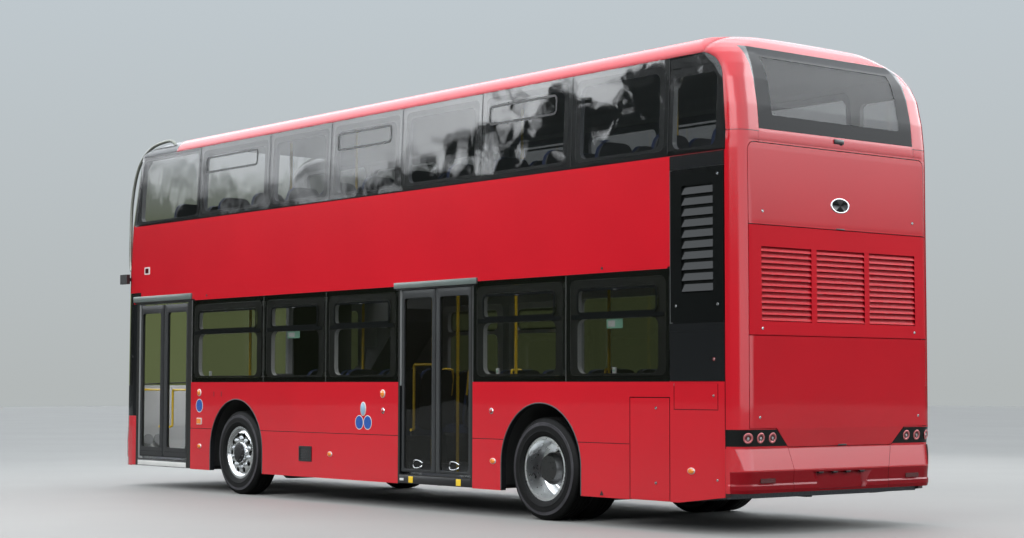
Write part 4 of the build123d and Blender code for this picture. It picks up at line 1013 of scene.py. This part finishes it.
def makeSideFittings(look):
    # indicators, markers, blank blue signs, push buttons, the vent box and the locks of the hatches
    y = look["y"]
    bm = bmesh.new()
    for oval in look["ovals"]:
        addOval(bm, look, *oval, 1, 2)
    x, z, halfWide, halfHigh = look["sideLamp"]
    share = look["lensShare"]
    addSidePlate(bm, around(x, z, halfWide, halfHigh), y - 0.002, 0.010, 0.010, 2)
    addSidePlate(bm, around(x, z, halfWide * share, halfHigh * share), y + 0.006, 0.008, 0.008, 1)
    bothSides(bm)
    newPiece(bm, "sideLamps", "root", "blackTrim lampAmber lampWhite")

    bm = bmesh.new()
    for x, z, radius in look["blueSigns"]:
        addRod(bm, (x, y - 0.002, z), (x, y + 0.0012, z), radius, 1, 36)
        addRod(bm, (x, y - 0.001, z), (x, y + 0.0020, z), radius * 0.9, 0, 36)
    addOval(bm, look, *look["paleDisc"], 2, 1)
    newPiece(bm, "blankSigns", "root", "signBlue lampWhite buttonBlue")

    bm = bmesh.new()
    for x, z in look["buttons"]:
        for material, profile in enumerate(look["buttonParts"]):
            addSpin(bm, profile, (x, y, z), (0, 1, 0), material, 28)
    for x, z, sunk in look["rootLocks"]:
        addLock(bm, (x, y + sunk, z), (0, 1, 0))
    for x, z in look["slots"]:
        addSideBlock(bm, around(x, z, 0.004, 0.030), y - 0.002, y + 0.003, 0.001, 2)
    x, z, half = look["jackMark"]
    corners = [(x + dx * half, y - 0.001, z + dz * half) for dx, dz in look["jackOutline"]]
    addPlate(bm, corners, (0, 0.0022, 0), 0, 2)
    newPiece(bm, "sideButtons", "root", "brightSteel lampRed blackTrim")

    vent = look["vent"]
    x0, x1, z0, z1 = vent
    bm = bmesh.new()
    addRing(bm, cornersOnSide(vent, y - 0.002), cornersOnSide(inset(vent, 0.022, 0.020), y - 0.002),
            (0, 0.011, 0), (0.014, 0.006))
    addSidePlate(bm, inset(vent, 0.02, 0.018), y - 0.004, 0.006, 0.004)
    for i in range(look["slats"]):
        z = z0 + 0.03 + (z1 - z0 - 0.06) * (i + 0.5) / look["slats"]
        addSideBlock(bm, (x0 + 0.024, x1 - 0.024, z - 0.003, z + 0.003), y + 0.001, y + 0.006, 0.001)
    newPiece(bm, "sideVent", "root", "blackTrim")

    for hatch, places in look["locks"].items():
        bm = bmesh.new()
        for x, z in places:
            addLock(bm, (x, y, z), (0, 1, 0))
        newPiece(bm, hatch.replace("_", "") + "Locks", hatch, "brightSteel blackTrim")


makeSideFittings(sideLook)

markLook = {
    "glassBack": 1.2668, "skin": 1.275,
    "plates": ((-4.015, -3.802, 1.762, 1.847), (1.260, 1.507, 1.770, 1.848)),
    "boxes": ((-3.895, 1.385), (-2.229, 1.385), (3.204, 1.385)), "boxHalf": (0.021, 0.031),
    "caps": ((3.280, 2.312), (-3.750, 2.304)), "marker": (4.744, 2.668),
}


def makeSmallMarks(look):
    # blank green plates and pale switch boxes behind the panes, drain caps and the pod's marker lamp
    bm = bmesh.new()
    back, skin = look["glassBack"], look["skin"]
    for plate in look["plates"]:
        x0, x1, z0, z1 = plate
        addSidePlate(bm, plate, back - 0.003, 0.0025, 0.006)
        addSidePlate(bm, (x0 + 0.10, x1 - 0.02, z0 + 0.015, z1 - 0.015), back - 0.002, 0.0018, 0.004, 1)
    halfWide, halfHigh = look["boxHalf"]
    for x, z in look["boxes"]:
        addSideBlock(bm, around(x, z, halfWide, halfHigh), back - 0.022, back - 0.002, 0.004, 1)
        addSideBlock(bm, around(x, z + 0.002, halfWide / 2, 0.010), back - 0.004, back - 0.0005, 0.001)
    newPiece(bm, "paneLabels", "root", "signGreen lampWhite")
    bm = bmesh.new()
    for x, z in look["caps"]:
        addRod(bm, (x, skin - 0.002, z), (x, skin + 0.004, z), 0.015, 0, 20, 0.012)
        addRod(bm, (x, skin + 0.003, z), (x, skin + 0.006, z), 0.006, 0, 12)
    addSidePlate(bm, around(*look["marker"], 0.066, 0.046), skin - 0.002, 0.008, 0.012, 1)
    addSidePlate(bm, around(*look["marker"], 0.040, 0.030), skin + 0.004, 0.006, 0.008, 2)
    newPiece(bm, "waistCaps", "root", "blackTrim lampWhite lampDeepRed")


makeSmallMarks(markLook)
print("side fittings ready")

seatLook = {
    "width": 0.410, "gap": 0.430, "cushionX": (0.030, 0.440), "cushionZ": (0.375, 0.468), "cushionRise": 0.01,
    "cushionRadius": 0.050, "backZ": (0.440, 1.075), "backPad": (0.036, 0, 0.006), "softening": 0.020,
    "backFoot": 0.010, "lean": 0.175, "corner": 0.110, "swell": (0.008, 0.010), "insets": (0.030, 0.050),
    "shell": (0.0015, 0.022), "pitchHalf": 0.36, "legX": (0.160, 0.230), "railTop": 1.060, "railSide": 0.425,
    "railRadius": 0.013,
    # the handle's points: back from the seat's line, in from its side, and up from its top
    "handle": ((0.02, 0, -0.26), (-0.005, 0, -0.12), (-0.01, 0, 0.01), (-0.01, 0.03, 0.018),
               (-0.01, 0.15, 0.018), (0, 0.19, -0.03)),
    "handleX": -0.085,
}
seatDecks = (
    ("lowerSeats", "lower_seats", 0.345,
     ((0.755, (-0.200, 0.560, 1.320)), (-0.755, (-4.450, -1.900, -1.140, -0.380, 0.380, 1.140)))),
    ("upperSeats", "upper_seats", 2.400,
     ((0.755, (*(0.75 * i - 5 for i in range(12)), 4.300)),
      (-0.755, (*(0.75 * i - 5 for i in range(9)), 4.300)))),
)


def addPad(bm, corners, depth, radius, look, swell):
    # a crowned pad: a rounded face thickened, softened at its edges and raised towards its middle
    others = set(bm.faces)
    addPlate(bm, corners, depth, radius, 0, 3)
    made = [face for face in bm.faces if face not in others]
    front = max(made, key=lambda face: face.calc_center_median().dot(depth) * (len(face.verts) > 4))
    for wide, share in zip(look["insets"], (1, 0.5)):
        bmesh.ops.inset_region(bm, faces=[front], thickness=wide, depth=swell * share, use_even_offset=True)


def addSeat(pads, frames, look, x, y, floorZ):
    y0, y1 = y - look["width"] / 2, y + look["width"] / 2
    (rear, front), (low, top) = look["cushionX"], (floorZ + z for z in look["cushionZ"])
    high = low + look["cushionRise"]
    corners = ((x + rear, y0, low), (x + front, y0, high), (x + front, y1, high), (x + rear, y1, low))
    depth = Vector((0, 0, top - low - look["softening"]))
    addPad(pads, [Vector(at) for at in corners], depth, look["cushionRadius"], look, look["swell"][0])
    low, high = (floorZ + z for z in look["backZ"])
    foot = x + look["backFoot"]
    top = foot - (high - low) * look["lean"]
    corners = ((foot, y0, low), (foot, y1, low), (top, y1, high), (top, y0, high))
    corners = [Vector(at) for at in corners]
    addPad(pads, corners, Vector(look["backPad"]), look["corner"], look, look["swell"][1])
    behind, thick = look["shell"]
    shell = [corner - Vector((behind, 0, 0)) for corner in corners]
    addPlate(frames, shell, Vector((-thick, 0, 0)), look["corner"], 1, 3)


def makeSeats(name, node, floorZ, rows, look):
    # double seats: moulded shell, padded back and cushion, pedestal and a grab handle by the aisle
    pads, frames = bmesh.new(), bmesh.new()
    legFrom, legTo = look["legX"]
    for middleY, places in rows:
        aisle = -1 if middleY > 0 else 1
        for x in places:
            for half in (-1, 1):
                addSeat(pads, frames, look, x, middleY + half * look["gap"] / 2, floorZ)
            for x0, x1, half, z0, z1, bevel in (
                (0.05, 0.42, look["pitchHalf"], 0.340, 0.372, 0.006),
                (legFrom, legTo, 0.045, 0, 0.345, 0.008), (0.10, 0.30, 0.13, 0, 0.012, 0.003),
            ):
                addBlock(frames, (x + x0, middleY - half, floorZ + z0), (x + x1, middleY + half, floorZ + z1),
                         bevel, 1)
            side, top = middleY + aisle * look["railSide"], floorZ + look["railTop"]
            addTube(frames, [(x + look["handleX"] + back, side - aisle * inward, top + up)
                             for back, inward, up in look["handle"]], look["railRadius"], 0)
    bmesh.ops.recalc_face_normals(pads, faces=pads.faces)
    padPiece = newPiece(pads, name + "Pads", "root", "seatMoquette", [node], 50)
    newPiece(frames, name + "Frames", "root", "railYellow seatShell", (), 40)


for name, node, floorZ, rows in seatDecks:
    makeSeats(name, node, floorZ, rows, seatLook)
print("seats ready")

wiperLook = {"roots": (0.95, -0.10), "reach": -0.80, "z": (1.262, 1.278, 1.290), "boss": (0.016, 1.300),
             "arm": 0.009}
headlampLook = {
    "back": 0.010,
    # rim, lens and bulb: outline and steps
    "parts": ((((0.058, -0.004), (0.0695, -0.004), (0.0695, 0.006), (0.066, 0.009), (0.060, 0.004)), 40),
              (((0.0, -0.003), (0.0575, -0.003), (0.0575, 0.001), (0.040, 0.006), (0.0, 0.008)), 40),
              (((0.0, 0.004), (0.022, 0.004), (0.020, 0.009), (0.0, 0.010)), 28)),
}


def makeWipers(look):
    # twin wipers parked along the foot of the windscreen
    bm = bmesh.new()
    low, middle, high = look["z"]
    radius, top = look["boss"]
    for y in look["roots"]:
        end = y + look["reach"]
        root = (5.430 - abs(y) * 0.018, y, low)
        bend = (5.434 - abs(y) * 0.02, y + look["reach"] * 0.45, middle)
        addRod(bm, root, (root[0] + 0.002, y, top), radius, 0, 16)
        addTube(bm, [root, bend, (5.432 - abs(end) * 0.02, end, high)], look["arm"], 0)
    newPiece(bm, "wipers", "root", "blackTrim")


def makeHeadlamps(look):
    bm = bmesh.new()
    for low, high in looseBoxes("headlamps"):
        middle = (low + high) / 2
        for material, (profile, steps) in enumerate(look["parts"]):
            addSpin(bm, profile, (high.x - look["back"], middle.y, middle.z), (1, 0, 0), material, steps)
    newPiece(bm, "headlampRings", "root", "brightSteel lampClear lampWhite")


makeWipers(wiperLook)
makeHeadlamps(headlampLook)
print("front fittings ready")

studio = {
    "floorSize": 90, "floorColour": (0.31, 0.31, 0.30, 1), "floorMirrored": (0.12, 0.125, 0.115, 1),
    "vergeColour": (0.19, 0.23, 0.10, 1), "beyondHigh": (0.64, 0.69, 0.72, 1), "vergeZ": (0.075, 0.12),
    "horizonColour": (0.030, 0.034, 0.028, 1), "skyColour": (0.90, 0.96, 1.02, 1), "skyZ": (0.05, 0.30),
    "backdropLow": (0.50, 0.53, 0.53, 1), "backdropHigh": (0.62, 0.70, 0.76, 1), "backdropZ": (0.0, 0.3),
    "sideGlows": ((4.8, 5.0, 5.2, 1), (9.0, 9.3, 9.6, 1)), "highGlow": (2.6, 2.75, 2.9, 1),
    "rearGlow": (8.0, 8.3, 8.6, 1), "rearZ": (0.07, 0.32), "rearSpread": (0.56, 0.68),
    "rearTop": (0.58, 0.85),
    # the edge of the dark band: its height, where it starts to climb, how fast, and where steeply
    "sideLine": (0.139, 0.545, 0.60), "steepFrom": 0.645, "ragged": (75, 8), "raggedReach": (1.25, 0.05),
    "nearSpread": (0.53, 0.61), "highZ": (0.25, 0.33), "skyStrength": 0.9,
    # place, aim, size and power
    "lamps": {
        "cabFill": ((4.0, 0.5, 2.2), (5.3, 0.2, 0.8), 0.8, 16),
        "deckFill": ((-0.6, 0, 2.25), (-0.6, 0, 0), 1.6, 12),
        "kerbSoftbox": ((-3, 17, 11), (0.5, 0, 2.4), 11, 780),
        "rearSoftbox": ((-19, -3, 9), (-5, 0, 2.2), 8, 260),
        "topSoftbox": ((1, 0, 15), (0, 0, 0), 12, 420),
        "offsideFill": ((6, -18, 8), (0, 0, 2), 10, 380),
    },
    "lampSpread": 95, "cameraPlace": (-16.638, 12.744, 1.243), "cameraHeading": -38.978, "cameraPitch": 3.50,
    "cameraRoll": 0.102, "lensLength": 67.49, "sensorWidth": 36, "clipEnd": 400,
}


def makeFloor(look):
    bm = bmesh.new()
    bmesh.ops.create_grid(bm, x_segments=1, y_segments=1, size=look["floorSize"])
    mesh = bpy.data.meshes.new("studioFloor")
    bm.to_mesh(mesh)
    bm.free()
    floor = addObject("studioFloor", mesh)
    material, tree, shader = newFinish("studioFloorPaint")
    cloud = addNoise(tree, objectPlace(tree), 0.35, 6)
    paint = addRamp(tree, cloud, 0.3, 0.7, shade(look["floorColour"], 0.93), look["floorColour"])
    seen = addNode(tree, "LightPath").outputs["Is Camera Ray"]
    setSockets(shader, {"Base Color": addMix(tree, seen, look["floorMirrored"], paint), "Roughness": 0.75})
    mesh.materials.append(material)


def makeWorld(look):
    world = bpy.data.worlds.new("studioLight")
    bpy.context.scene.world = world
    world.use_nodes = True
    tree = world.node_tree
    direction = addNode(tree, "TexCoord").outputs["Generated"]
    rays = addNode(tree, "LightPath").outputs
    axes = splitAxes(tree, direction)
    height, spread = axes["Z"], addMath(tree, "ABSOLUTE", axes["Y"])
    dark, highGlow = look["horizonColour"], look["highGlow"]

    # what gloss mirrors: a bright band along the sides, over a dark one that climbs towards the rear
    base, start, climb = look["sideLine"]
    away, steep = (addMath(tree, "MAXIMUM", addMath(tree, "SUBTRACT", spread, edge), 0.0)
                   for edge in (start, look["steepFrom"]))
    line = addMath(tree, "ADD", addMath(tree, "MULTIPLY", away, climb), base)
    line = addMath(tree, "ADD", line, steep)
    wider, least = look["raggedReach"]
    reach = addMath(tree, "ADD", addMath(tree, "MULTIPLY", away, wider), least)
    ragged = addMath(tree, "SUBTRACT", addNoise(tree, direction, *look["ragged"]), 0.5)
    line = addMath(tree, "ADD", line, addMath(tree, "MULTIPLY", ragged, reach))
    above = addMath(tree, "SUBTRACT", height, line)
    bands = [addRamp(tree, above, 0.0, 0.02, dark, glow) for glow in look["sideGlows"]]
    sideBand = addMix(tree, addRange(tree, spread, *look["nearSpread"]), *bands)
    sideLight = addMix(tree, addRange(tree, height, *look["highZ"]), sideBand, highGlow)

    # the rear mirrors its glow only from the kerb side's view, so that the roof stays red from the front
    rearBand = addRamp(tree, height, *look["rearZ"], dark, look["rearGlow"])
    notRear = addRange(tree, spread, *look["rearSpread"], 1, 0)
    notRear = addMath(tree, "MAXIMUM", notRear, addRange(tree, height, *look["rearTop"]))
    behind = addMath(tree, "LESS_THAN", axes["X"], 0.0)
    mirrored = addMix(tree, behind, sideLight, addMix(tree, notRear, rearBand, highGlow))
    sky = addRamp(tree, height, *look["skyZ"], dark, look["skyColour"])
    light = addMix(tree, rays["Is Glossy Ray"], sky, mirrored)

    # low down, what shows through the panes has the green of a verge
    verge = addRamp(tree, height, *look["vergeZ"], look["vergeColour"], look["beyondHigh"])
    through = addMath(tree, "GREATER_THAN", rays["Transparent Depth"], 0.5)
    backdrop = addRamp(tree, height, *look["backdropZ"], look["backdropLow"], look["backdropHigh"])
    light = addMix(tree, rays["Is Camera Ray"], light, addMix(tree, through, backdrop, verge))
    setSockets(tree.nodes["Background"], {"Color": light, "Strength": look["skyStrength"]})


def makeStudio(look):
    scene = bpy.context.scene
    scene.view_settings.view_transform = "Standard"
    makeFloor(look)
    makeWorld(look)
    for name, (place, aim, size, power) in look["lamps"].items():
        light = bpy.data.lights.new(name, "AREA")
        light.size = size
        light.energy = power
        light.spread = radians(look["lampSpread"])
        lamp = addObject(name, light)
        lamp.location = place
        lamp.rotation_euler = (Vector(aim) - Vector(place)).to_track_quat("-Z", "Y").to_euler()
        lamp.visible_glossy = False
        lamp.visible_camera = False

    heading, pitch = radians(look["cameraHeading"]), radians(look["cameraPitch"])
    sight = Vector((cos(heading) * cos(pitch), sin(heading) * cos(pitch), sin(pitch)))
    lens = bpy.data.cameras.new("photoCamera")
    lens.lens = look["lensLength"]
    lens.sensor_width = look["sensorWidth"]
    lens.clip_end = look["clipEnd"]
    camera = addObject("photoCamera", lens)
    camera.location = look["cameraPlace"]
    turn = sight.to_track_quat("-Z", "Y").to_matrix() @ Matrix.Rotation(radians(look["cameraRoll"]), 3, "Z")
    camera.rotation_euler = turn.to_euler()
    scene.camera = camera


makeStudio(studio)
print("studio ready")
